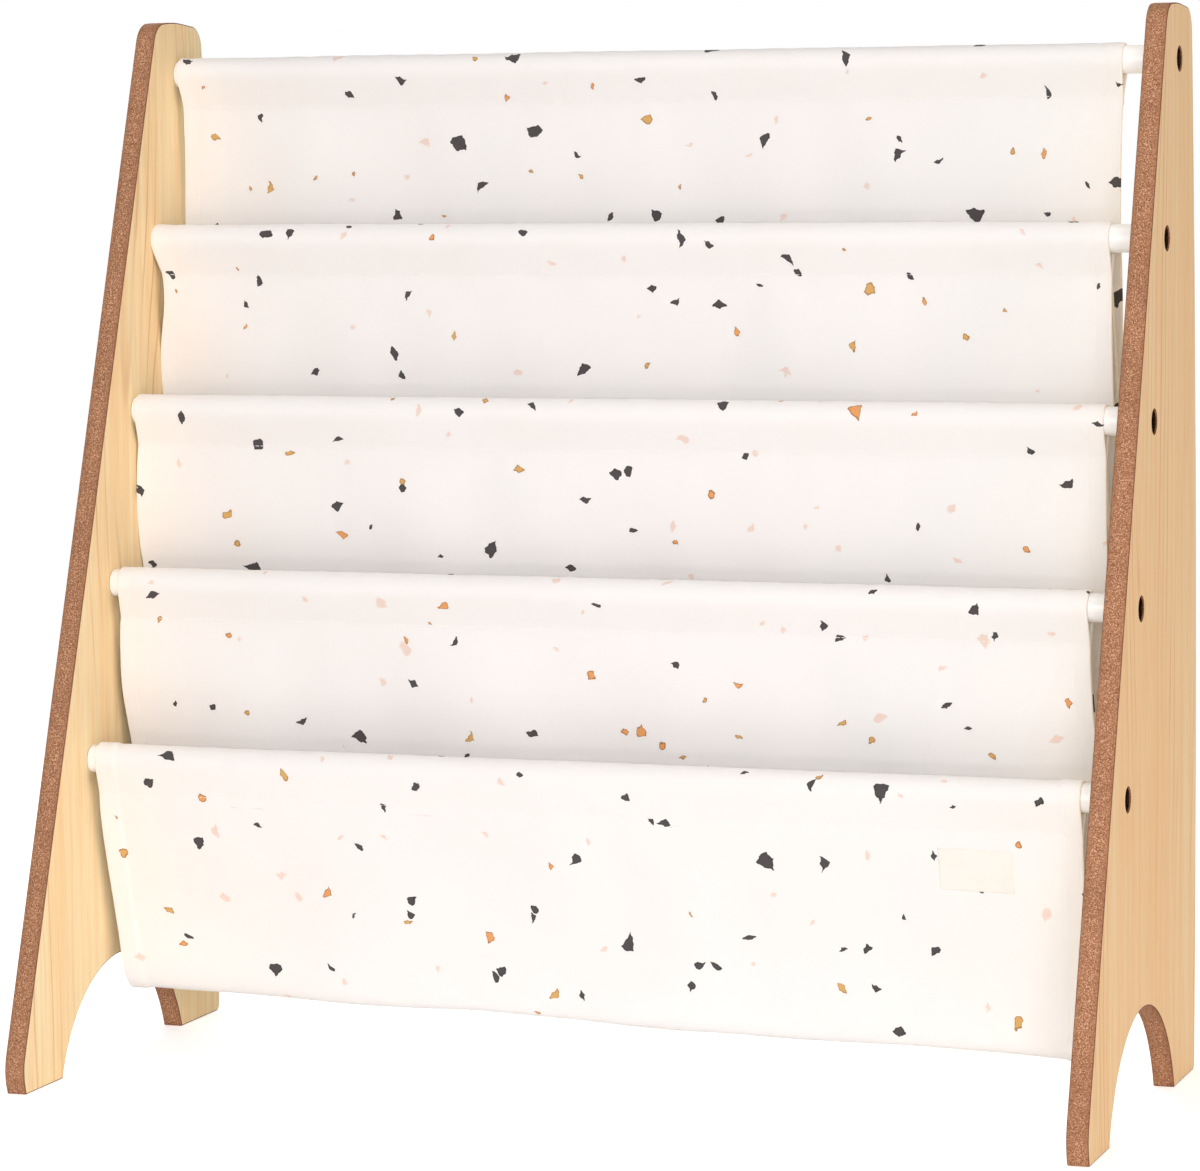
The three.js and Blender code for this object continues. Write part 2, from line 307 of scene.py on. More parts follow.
def rounded_corner(before: Array, corner: Array, after: Array, radius: float, steps: int) -> Array:
    """An arc that rounds a corner and touches both of its sides.

    The centre lies on the bisector, radius / sin(half the angle) from the corner.

    Args:
        before: A point on the side that comes in.
        corner: The corner.
        after: A point on the side that goes out.
        radius: The arc's radius.
        steps: Chords in the arc.

    Returns:
        The arc's points.
    """
    to_before = (before - corner) / np.linalg.norm(before - corner)
    to_after = (after - corner) / np.linalg.norm(after - corner)
    half = math.acos(float(to_before @ to_after)) / 2
    middle = (to_before + to_after) / np.linalg.norm(to_before + to_after)
    centre = corner + middle * radius / math.sin(half)
    spokes = [corner + side * radius / math.tan(half) - centre for side in (to_before, to_after)]
    start, end = (math.atan2(spoke[1], spoke[0]) for spoke in spokes)
    turn = (end - start + math.pi) % (2 * math.pi) - math.pi
    return arc(centre, radius, start, start + turn, steps)


# Shader nodes


class Nodes:
    """A node tree that is filled in from outputs to inputs."""

    def __init__(self, tree: bpy.types.NodeTree) -> None:
        """Takes an empty node tree."""
        self.tree = tree

    @classmethod
    def of(cls, owner: Material | bpy.types.World) -> "Nodes":
        """Empties the node tree of a material or a world.

        Args:
            owner: The material or the world.

        Returns:
            Its node tree, to be filled in.
        """
        owner.use_nodes = True
        owner.node_tree.nodes.clear()
        return cls(owner.node_tree)

    def feed(self, node: bpy.types.Node, inputs: dict) -> None:
        """Fills a node's inputs.

        Args:
            node: The node.
            inputs: A value or an output socket for each input, by name or number.
        """
        for key, value in inputs.items():
            if isinstance(value, Socket):
                self.tree.links.new(value, node.inputs[key])
            else:
                node.inputs[key].default_value = value

    def node(self, kind: str, inputs: dict | None = None, **settings) -> bpy.types.Node:
        """Adds a node.

        Args:
            kind: The node's type after ShaderNode.
            inputs: A value or an output socket for each input, by name or number.
            settings: The node's own properties.

        Returns:
            The node.
        """
        made = self.tree.nodes.new(kind if kind.startswith("Node") else f"ShaderNode{kind}")
        for key, value in settings.items():
            setattr(made, key, value)
        self.feed(made, inputs or {})
        return made

    def group(self, tree: bpy.types.NodeTree, inputs: dict) -> Sockets:
        """Places a node group and returns its outputs."""
        return self.node("Group", inputs, node_tree=tree).outputs

    def math(self, operation: str, first: Value, second: Value = 0.0, third: Value = 0.0) -> Socket:
        """The result of a Math node."""
        return self.node("Math", {0: first, 1: second, 2: third}, operation=operation).outputs[0]

    def times(self, first: Value, second: Value) -> Socket:
        """The product of two values."""
        return self.math("MULTIPLY", first, second)

    def line(self, value: Value, slope: Value, start: Value) -> Socket:
        """A value times a slope, plus a start."""
        return self.math("MULTIPLY_ADD", value, slope, start)

    def vector(self, operation: str, first: Socket, second: Socket | Triple = (0.0, 0.0, 0.0)) -> Socket:
        """The result of a Vector Math node."""
        made = self.node("VectorMath", {0: first, 1: second}, operation=operation)
        return made.outputs["Value" if operation in ("DOT_PRODUCT", "LENGTH") else "Vector"]

    def noise(self, vector: Socket, scale: Value | Triple, detail: float = 2.0,
              roughness: float = 0.5) -> Socket:
        """A noise value, 0 to 1.

        Args:
            vector: Where it is read.
            scale: Features to a metre, alike in all directions or one number for each axis.
            detail: Octaves of finer noise.
            roughness: How strong each octave is against the one before.

        Returns:
            The value.
        """
        if isinstance(scale, tuple):
            vector, scale = self.vector("MULTIPLY", vector, scale), 1.0
        inputs = {"Vector": vector, "Scale": scale, "Detail": detail, "Roughness": roughness}
        return self.node("TexNoise", inputs).outputs[0]

    def remap(self, value: Value, low: float, high: float, to_low: float = 0.0,
              to_high: float = 1.0) -> Socket:
        """A value from low to high, turned smoothly into one from to_low to to_high."""
        inputs = {"Value": value, "From Min": low, "From Max": high, "To Min": to_low, "To Max": to_high}
        return self.node("MapRange", inputs, interpolation_type="SMOOTHSTEP").outputs[0]

    def mix(self, factor: Value, first: Value | Colour, second: Value | Colour) -> Socket:
        """A colour between two, by a factor."""
        return self.node("Mix", {0: factor, 6: first, 7: second}, data_type="RGBA").outputs[2]

    def parts(self, vector: Socket) -> Sockets:
        """The X, Y and Z of a vector."""
        return self.node("SeparateXYZ", {0: vector}).outputs

    def bump(self, height: Value, distance: float) -> Socket:
        """The normal of a surface raised by a height times a distance."""
        return self.node("Bump", {"Height": height, "Distance": distance, "Strength": 1.0}).outputs[0]

    def seen_straight(self) -> Socket:
        """Whether the camera sees a place, straight or by way of a gloss or clear matter.

        Returns:
            1 where it does, and 0 for light that the place sends elsewhere.
        """
        seen = self.node("LightPath").outputs
        mirrored = self.math("MAXIMUM", seen["Is Glossy Ray"], seen["Is Transmission Ray"])
        return self.math("MAXIMUM", seen["Is Camera Ray"], mirrored)


@dataclass
class Group:
    """A shader node group in the making, with its inputs and the outputs it still has to feed."""

    name: str
    inputs: dict[str, float | None]
    outputs: tuple[str, ...]

    def __post_init__(self) -> None:
        """Makes the sockets: an input with no default is a vector, and all others are values."""
        self.tree = bpy.data.node_groups.new(self.name, "ShaderNodeTree")
        for label, default in self.inputs.items():
            kind = "NodeSocketVector" if default is None else "NodeSocketFloat"
            socket = self.tree.interface.new_socket(label, in_out="INPUT", socket_type=kind)
            if default is not None:
                socket.default_value = default
        for label in self.outputs:
            self.tree.interface.new_socket(label, in_out="OUTPUT", socket_type="NodeSocketFloat")
        self.sheet = Nodes(self.tree)
        self.given = self.sheet.node("NodeGroupInput").outputs
        self.end = self.sheet.node("NodeGroupOutput")

    def finished(self, **values: Socket) -> bpy.types.NodeTree:
        """Feeds the outputs and returns the group's tree."""
        self.sheet.feed(self.end, values)
        return self.tree


class Effects:
    """The node groups that several finishes share, each built once."""

    def __init__(self) -> None:
        """Builds every group."""
        self.mottle = self._mottle()
        self.weave = self._weave()
        self.grain = self._grain()
        self.chips = self._chips()

    @staticmethod
    def _mottle() -> bpy.types.NodeTree:
        """Slow clouds, whose tone goes from 0 to 1 about 0.5, and a mask of fine dust.

        Returns:
            The group.
        """
        inputs = {"Vector": None, "Cloud size": 100 * MM, "Dust size": 2 * MM}
        group = Group("soft_mottle", inputs, ("Cloud", "Dust"))
        sheet, given = group.sheet, group.given
        per_cloud = sheet.math("DIVIDE", 1.0, given["Cloud size"])
        per_dust = sheet.math("DIVIDE", 1.0, given["Dust size"])
        cloud = sheet.noise(given["Vector"], per_cloud, 3.0)
        dust = sheet.noise(given["Vector"], per_dust, 1.0)
        return group.finished(Cloud=cloud, Dust=sheet.remap(dust, 0.35, 0.65))

    @staticmethod
    def _weave() -> bpy.types.NodeTree:
        """A plain weave on a flat cut in metres.

        Warp threads are the ridges |sin| across U and weft threads those across V; a
        checkerboard of sin(U) sin(V) says which of the two lies on top. A slow noise bends both.

        Returns:
            The group.
        """
        bends_per_metre, bend = 260.0, 1.6
        group = Group("plain_weave", {"Vector": None, "Pitch": 0.6 * MM}, ("Height", "Gap"))
        sheet, given = group.sheet, group.given
        turns = sheet.math("DIVIDE", math.pi, given["Pitch"])
        parts = sheet.parts(given["Vector"])
        wobble = sheet.times(sheet.noise(given["Vector"], bends_per_metre), bend)
        across, along = (sheet.math("ADD", sheet.times(parts[axis], turns), wobble) for axis in (0, 1))
        sine_across, sine_along = sheet.math("SINE", across), sheet.math("SINE", along)
        over = sheet.remap(sheet.times(sine_across, sine_along), -0.4, 0.4)
        warp, weft = sheet.math("ABSOLUTE", sine_across), sheet.math("ABSOLUTE", sine_along)
        height = sheet.line(over, sheet.math("SUBTRACT", warp, weft), weft)
        gap = sheet.math("SUBTRACT", 1.0, sheet.math("MAXIMUM", warp, weft))
        return group.finished(Height=height, Gap=gap)

    @staticmethod
    def _grain() -> bpy.types.NodeTree:
        """Maple figure on a board whose grain runs along Z and whose face is the YZ plane.

        Band and Streak are slow and fine tones in long upright strips. Line marks the thin rings
        of late wood: a ring number grows with the distance from a wandering middle line and falls
        with the height, so its whole numbers draw long narrow arches. Pore is short strokes.
        Each noise is read at so many features to a metre along X, Y and Z.

        Returns:
            The group.
        """
        wander_reach, middle_round, rings_per_metre_up, ring_bend = 0.12, 0.0002, 4.5, 3.2
        inputs = {"Vector": None, "Ring spacing": 11 * MM}
        group = Group("maple_grain", inputs, ("Band", "Streak", "Line", "Pore"))
        sheet, place = group.sheet, group.given["Vector"]
        parts = sheet.parts(place)
        band = sheet.noise(place, (40.0, 30.0, 1.4))
        streak = sheet.noise(place, (150.0, 170.0, 3.6), 3.0, 0.6)
        wander = sheet.noise(place, (25.0, 0.0, 2.2), 1.0)
        middle = sheet.line(wander, wander_reach, -wander_reach / 2)
        from_middle = sheet.math("SUBTRACT", parts[1], middle)
        spread = sheet.math("SQRT", sheet.line(from_middle, from_middle, middle_round))
        ring = sheet.math("DIVIDE", spread, group.given["Ring spacing"])
        ring = sheet.line(parts[2], -rings_per_metre_up, ring)
        ring = sheet.line(sheet.noise(place, (30.0, 14.0, 3.0)), ring_bend, ring)
        near = sheet.remap(sheet.math("PINGPONG", ring, 0.5), 0.13, 0.0)
        strength = sheet.remap(sheet.noise(place, (50.0, 26.0, 2.6)), 0.4, 0.66)
        pore = sheet.remap(sheet.noise(place, (400.0, 1300.0, 26.0), 2.0, 0.6), 0.52, 0.76)
        return group.finished(Band=band, Streak=streak, Line=sheet.times(near, strength), Pore=pore)

    @staticmethod
    def _chips() -> bpy.types.NodeTree:
        """Scattered chips of many shapes on a flat cut in metres.

        Each cell of a random pattern holds one chip. The place inside the cell is turned, bent
        and squeezed by the cell's own random numbers. The chip is where the softened maximum of
        five slanted distances, each divided by its own random reach, is less than its size. A
        chip whose Pick is under DARK_SHARE is a quarter larger.

        Returns:
            The group.
        """
        inputs = {"Vector": None, "Spacing": 40 * MM, "Least": 1 * MM, "Most": 4.5 * MM, "Share": 0.8}
        group = Group("scattered_chips", inputs, ("Inside", "Soft", "Pick", "Rim"))
        sheet, given = group.sheet, group.given
        place = given["Vector"]
        per_cell = sheet.math("DIVIDE", 1.0, given["Spacing"])
        inputs = {"Vector": place, "Scale": per_cell, "Randomness": 0.9}
        cell = sheet.node("TexVoronoi", inputs, voronoi_dimensions="2D")
        chance = sheet.node("SeparateColor", {0: cell.outputs["Color"]}).outputs
        seed = sheet.times(chance[1], 97.0)

        def random(step: float, span: float = 1.0, least: float = 0.0) -> Socket:
            """A number of the cell's own, from least to least + span."""
            return sheet.line(sheet.math("FRACT", sheet.line(seed, step, chance[2])), span, least)

        most_turn, most_bend, waver_reach, wavers_per_metre = 40.0, 150.0, 2.4 * MM, 330.0
        waver = sheet.node("TexNoise", {"Vector": place, "Scale": wavers_per_metre, "Detail": 1.0})
        shift = sheet.vector("SUBTRACT", waver.outputs[1], (0.5, 0.5, 0.5))
        shift = sheet.vector("MULTIPLY", shift, (waver_reach, waver_reach, 0.0))
        local = sheet.vector("ADD", sheet.vector("SUBTRACT", place, cell.outputs["Position"]), shift)
        inputs = {"Vector": local, "Angle": sheet.times(chance[0], most_turn)}
        turned = sheet.node("VectorRotate", inputs, rotation_type="Z_AXIS")
        parts = sheet.parts(turned.outputs[0])
        bent = sheet.line(sheet.times(parts[0], parts[0]), random(2.9, 2 * most_bend, -most_bend), parts[1])
        squeezed = sheet.times(bent, random(4.3, 1.0, 0.95))
        flat = sheet.node("CombineXYZ", {0: parts[0], 1: squeezed}).outputs[0]
        softness = random(6.1, 1.8 * MM, 0.3 * MM)
        least_reaches, most_reach, uneven = (0.6, 0.35, 0.55, 0.7, 0.4), 1.05, 0.3
        reach = None
        for number, least in enumerate(least_reaches):
            angle = 2 * math.pi * (number + uneven * math.sin(5.0 * number)) / len(least_reaches)
            side = (math.cos(angle), math.sin(angle), 0.0)
            scale = random(number * 1.37 + 1.0, most_reach - least, least)
            distance = sheet.math("DIVIDE", sheet.vector("DOT_PRODUCT", flat, side), scale)
            reach = distance if reach is None else sheet.math("SMOOTH_MAX", reach, distance, softness)
        span = sheet.math("SUBTRACT", given["Most"], given["Least"])
        size = sheet.line(sheet.math("POWER", random(3.1), 1.3), span, given["Least"])
        pick = random(5.3)
        size = sheet.times(size, sheet.line(sheet.math("LESS_THAN", pick, DARK_SHARE), 0.25, 1.0))
        present = sheet.math("LESS_THAN", random(7.7), given["Share"])
        depth = sheet.math("SUBTRACT", size, reach)
        inside = sheet.times(sheet.remap(depth, -0.14 * MM, 0.14 * MM), present)
        soft = sheet.times(sheet.remap(depth, -0.7 * MM, 0.9 * MM), present)
        rim = sheet.times(sheet.remap(depth, 1.1 * MM, 0.2 * MM), inside)
        return group.finished(Inside=inside, Soft=soft, Pick=pick, Rim=rim)


# Finishes


@dataclass(frozen=True)
class Finish:
    """What every finish has: a name, a roughness, how strongly it shines and its mottle's sizes."""

    name: str
    roughness: float
    specular: float = 0.5
    cloud: float = 0.1
    dust: float = 2 * MM

    def mottle(self, sheet: Nodes, effects: Effects, place: Socket) -> Sockets:
        """The clouds and the dust of this finish."""
        inputs = {"Vector": place, "Cloud size": self.cloud, "Dust size": self.dust}
        return sheet.group(effects.mottle, inputs)

    def build(self, effects: Effects) -> Material:
        """Builds the material: a Principled shader that the finish's own looks feed.

        Args:
            effects: The shared node groups.

        Returns:
            The material.
        """
        material = bpy.data.materials.new(self.name)
        sheet = Nodes.of(material)
        gloss = {"Roughness": self.roughness, "Specular IOR Level": self.specular}
        shader = sheet.node("BsdfPrincipled", gloss)
        sheet.node("OutputMaterial", {0: shader.outputs[0]})
        sheet.feed(shader, self.looks(sheet, effects))
        return material

    def looks(self, sheet: Nodes, effects: Effects) -> dict:
        """What feeds the shader, which each kind of finish works out for itself."""
        raise NotImplementedError


@dataclass(frozen=True)
class LaminateFinish(Finish):
    """Satin maple laminate with upright grain."""

    cloud: float = 90 * MM
    dust: float = 1.1 * MM
    pale: Colour = srgb(255, 238, 195)
    deep: Colour = srgb(252, 215, 160)
    line: Colour = srgb(200, 134, 80)
    ring_spacing: float = 10.5 * MM
    relief: float = 0.06 * MM

    def looks(self, sheet: Nodes, effects: Effects) -> dict:
        """A pale ground, deeper in streaks and bands, with brown lines and pores sunk into it.

        Args:
            sheet: The material's nodes.
            effects: The shared node groups.

        Returns:
            What feeds the shader, by input.
        """
        place = sheet.node("TexCoord").outputs["Object"]
        grain = sheet.group(effects.grain, {"Vector": place, "Ring spacing": self.ring_spacing})
        mottle = self.mottle(sheet, effects, place)
        tone = sheet.mix(sheet.remap(grain["Streak"], 0.36, 0.66, 0.0, 0.62), self.pale, self.deep)
        tone = sheet.mix(sheet.remap(grain["Band"], 0.34, 0.68, 0.0, 0.36), tone, self.deep)
        tone = sheet.mix(sheet.times(grain["Pore"], 0.24), tone, self.line)
        tone = sheet.mix(sheet.times(grain["Line"], 0.52), tone, self.line)
        tone = sheet.mix(sheet.remap(mottle["Cloud"], 0.3, 0.7, 0.0, 0.12), tone, self.deep)
        rough = sheet.line(mottle["Dust"], 0.05, sheet.line(grain["Pore"], 0.12, self.roughness - 0.04))
        height = sheet.math("SUBTRACT", 0.0, sheet.math("ADD", grain["Pore"], grain["Line"]))
        return {"Base Color": tone, "Roughness": rough, "Normal": sheet.bump(height, self.relief)}


@dataclass(frozen=True)
class BoardEdgeFinish(Finish):
    """Bare brown fibre board at the cut edges, flecked, with a dark line beside each face."""

    cloud: float = 30 * MM
    dust: float = 0.7 * MM
    brown: Colour = srgb(170, 117, 85)
    fleck: Colour = srgb(226, 178, 142)
    pit: Colour = srgb(108, 68, 48)
    glue: Colour = srgb(112, 78, 62)
    inner_face: float = 301 * MM
    thickness: float = 12 * MM
    flecks_per_metre: float = 1350.0
    pits_per_metre: float = 1000.0
    relief: float = 0.12 * MM

    def looks(self, sheet: Nodes, effects: Effects) -> dict:
        """Pale flecks over dark pits, most in the middle of the board, and glue beside its faces.

        Args:
            sheet: The material's nodes.
            effects: The shared node groups.

        Returns:
            What feeds the shader, by input.
        """
        place = sheet.node("TexCoord").outputs["Object"]
        mottle = self.mottle(sheet, effects, place)
        fine = sheet.noise(place, self.flecks_per_metre, 2.0, 0.6)
        aside = sheet.vector("ADD", place, (0.7, 0.3, 0.1))
        pits = sheet.remap(sheet.noise(aside, self.pits_per_metre, 2.0, 0.6), 0.52, 0.38)
        across = sheet.math("ABSOLUTE", sheet.parts(place)[0])
        beyond = sheet.math("SUBTRACT", across, self.inner_face + self.thickness / 2)
        share = sheet.math("DIVIDE", sheet.math("ABSOLUTE", beyond), self.thickness / 2)
        loose = sheet.line(sheet.remap(share, 0.95, 0.2), 0.5, 0.45)
        flecks = sheet.times(sheet.remap(fine, 0.5, 0.62), loose)
        tone = sheet.mix(sheet.times(pits, 0.58), self.brown, self.pit)
        tone = sheet.mix(flecks, tone, self.fleck)
        tone = sheet.mix(sheet.remap(mottle["Cloud"], 0.35, 0.7, 0.0, 0.18), tone, self.pit)
        tone = sheet.mix(sheet.remap(share, 0.9, 0.965, 0.0, 0.8), tone, self.glue)
        height = sheet.math("SUBTRACT", fine, sheet.times(pits, 0.5))
        return {"Base Color": tone, "Roughness": sheet.line(mottle["Dust"], 0.1, self.roughness - 0.05),
                "Normal": sheet.bump(height, self.relief)}


@dataclass(frozen=True)
class PaintFinish(Finish):
    """White satin paint on the rods, with a faint brush texture along them."""

    cloud: float = 40 * MM
    dust: float = 1.2 * MM
    white: Colour = srgb(248, 249, 252)
    worn: Colour = srgb(238, 238, 240)
    relief: float = 0.04 * MM

    def looks(self, sheet: Nodes, effects: Effects) -> dict:
        """White with slightly greyer clouds, and brush marks that run along X.

        Args:
            sheet: The material's nodes.
            effects: The shared node groups.

        Returns:
            What feeds the shader, by input.
        """
        place = sheet.node("TexCoord").outputs["Object"]
        mottle = self.mottle(sheet, effects, place)
        brush = sheet.noise(place, (18.0, 700.0, 700.0))
        tone = sheet.mix(sheet.remap(mottle["Cloud"], 0.4, 0.75, 0.0, 0.5), self.white, self.worn)
        return {"Base Color": tone, "Roughness": sheet.line(mottle["Dust"], 0.08, self.roughness - 0.03),
                "Normal": sheet.bump(brush, self.relief)}


@dataclass(frozen=True)
class MetalFinish(Finish):
    """Plated steel: dark bronze on the bolts, zinc on the inserts."""

    cloud: float = 4 * MM
    dust: float = 0.4 * MM
    bare: Colour = srgb(74, 54, 36)
    dull: Colour = srgb(30, 22, 16)
    grazing: Colour = srgb(120, 96, 72)
    relief: float = 0.02 * MM

    def looks(self, sheet: Nodes, effects: Effects) -> dict:
        """Bare metal with duller clouds and a fine roughness, tinted where it is seen at a slant.

        Args:
            sheet: The material's nodes.
            effects: The shared node groups.

        Returns:
            What feeds the shader, by input.
        """
        mottle = self.mottle(sheet, effects, sheet.node("TexCoord").outputs["Object"])
        tone = sheet.mix(sheet.remap(mottle["Cloud"], 0.35, 0.68), self.bare, self.dull)
        return {"Base Color": tone, "Metallic": 1.0, "Specular Tint": self.grazing,
                "Roughness": sheet.line(mottle["Dust"], 0.16, self.roughness - 0.06),
                "Normal": sheet.bump(mottle["Dust"], self.relief)}


@dataclass(frozen=True)
class Print:
    """One layer of the print: how far apart its chips are, their sizes and where it starts."""

    spacing: float
    least: float
    most: float
    share: float
    shift: Triple


@dataclass(frozen=True)
class WovenFinish(Finish):
    """Off-white plain weave: cloth, label tape or thread."""

    ground: Colour = srgb(254, 250, 244)
    shade: Colour = srgb(249, 243, 234)
    cloud: float = 12 * MM
    dust: float = 0.6 * MM
    pitch: float = 0.3 * MM
    relief: float = 0.05 * MM
    cloud_share: float = 0.5
    dust_relief: float = 0.0
    dust_rough: float = 0.06
    sheen: float = 0.1
    sheen_roughness: float = 0.5

    def looks(self, sheet: Nodes, effects: Effects) -> dict:
        """A ground that is a little darker in clouds and between the threads.

        Args:
            sheet: The material's nodes.
            effects: The shared node groups.

        Returns:
            What feeds the shader, by input.
        """
        cut = sheet.node("TexCoord").outputs["UV"]
        mottle = self.mottle(sheet, effects, cut)
        weave = sheet.group(effects.weave, {"Vector": cut, "Pitch": self.pitch})
        cloud = sheet.remap(mottle["Cloud"], 0.35, 0.75, 0.0, self.cloud_share)
        tone = sheet.mix(cloud, self.ground, self.shade)
        tone = sheet.mix(sheet.times(weave["Gap"], 0.3), tone, self.shade)
        height = sheet.line(mottle["Dust"], self.dust_relief, weave["Height"])
        return {"Base Color": self.printed(sheet, effects, cut, tone),
                "Sheen Weight": self.sheen, "Sheen Roughness": self.sheen_roughness,
                "Roughness": sheet.line(mottle["Dust"], self.dust_rough, self.roughness - 0.03),
                "Normal": sheet.bump(height, self.relief)}

    def printed(self, sheet: Nodes, effects: Effects, cut: Socket, tone: Socket) -> Socket:
        """The tone as it is, because plain tape and thread have no print."""
        return tone


@dataclass(frozen=True)
class ClothFinish(WovenFinish):
    """The sling's cloth, printed with scattered chips in three colours and a pale blush."""

    ground: Colour = srgb(252, 249, 248)
    shade: Colour = srgb(249, 243, 240)
    cloud: float = 70 * MM
    dust: float = 1.5 * MM
    pitch: float = 0.55 * MM
    relief: float = 0.07 * MM
    cloud_share: float = 0.35
    dust_relief: float = 0.3
    dust_rough: float = 0.05
    sheen: float = 0.05
    sheen_roughness: float = 0.45
    charcoal: Colour = srgb(62, 56, 58)
    soot: Colour = srgb(22, 20, 22)
    ochre: Colour = srgb(220, 170, 92)
    rust: Colour = srgb(236, 160, 90)
    blush: Colour = srgb(245, 220, 208)
    outline: Colour = srgb(152, 98, 46)
    ochre_share: float = 0.59
    rust_share: float = 0.68
    layers: tuple[Print, ...] = (Print(41 * MM, 2.0 * MM, 4.4 * MM, 0.82, (0.0, 0.0, 0.0)),
                                 Print(46 * MM, 1.5 * MM, 2.9 * MM, 0.84, (3.31, 1.7, 0.0)))

    def printed(self, sheet: Nodes, effects: Effects, cut: Socket, tone: Socket) -> Socket:
        """The print over a ground tone: large chips, then small ones.

        A chip's Pick is its place among the colours, which are dark up to DARK_SHARE, then ochre
        and rust up to their own shares, and blush with soft edges above.

        Args:
            sheet: The material's nodes.
            effects: The shared node groups.
            cut: The flat cut's coordinates in metres.
            tone: The ground's colour.

        Returns:
            The printed colour.
        """
        for layer in self.layers:
            chips = sheet.group(effects.chips, {
                "Vector": sheet.vector("ADD", cut, layer.shift), "Spacing": layer.spacing,
                "Least": layer.least, "Most": layer.most, "Share": layer.share})
            pick = chips["Pick"]
            pale = sheet.math("GREATER_THAN", pick, self.rust_share)
            warm = sheet.mix(sheet.math("GREATER_THAN", pick, self.ochre_share), self.ochre, self.rust)
            warm = sheet.mix(sheet.times(chips["Rim"], 0.9), warm, self.outline)
            dark = sheet.mix(chips["Rim"], self.charcoal, self.soot)
            ink = sheet.mix(sheet.math("GREATER_THAN", pick, DARK_SHARE), dark, warm)
            ink = sheet.mix(pale, ink, self.blush)
            edge = sheet.node("Mix", {0: pale, 2: chips["Inside"], 3: chips["Soft"]}).outputs[0]
            tone = sheet.mix(sheet.times(edge, 0.96), tone, ink)
        return tone


@dataclass
class Wardrobe:
    """Every finish of the shelf, built once."""

    effects: Effects = field(default_factory=Effects)

    def __post_init__(self) -> None:
        """Builds the materials."""
        zinc = {"bare": srgb(196, 198, 202), "dull": srgb(150, 152, 158), "grazing": srgb(250, 250, 252)}
        white = {"ground": srgb(255, 252, 250), "shade": srgb(250, 245, 240)}
        self.laminate = LaminateFinish("maple_laminate", 0.5, 0.06).build(self.effects)
        self.board = BoardEdgeFinish("board_edge", 0.8, 0.2).build(self.effects)
        self.paint = PaintFinish("rod_paint", 0.36).build(self.effects)
        self.bronze = MetalFinish("dark_bronze", 0.38).build(self.effects)
        self.zinc = MetalFinish("zinc_plate", 0.34, **zinc).build(self.effects)
        self.cloth = ClothFinish("printed_cloth", 0.9, 0.25).build(self.effects)
        self.label = WovenFinish("label_tape", 0.78, 0.3).build(self.effects)
        self.thread = WovenFinish("seam_thread", 0.7, 0.3, pitch=0.25 * MM, **white).build(self.effects)
        log.info("finishes: %d materials", len(bpy.data.materials))


# Side panels


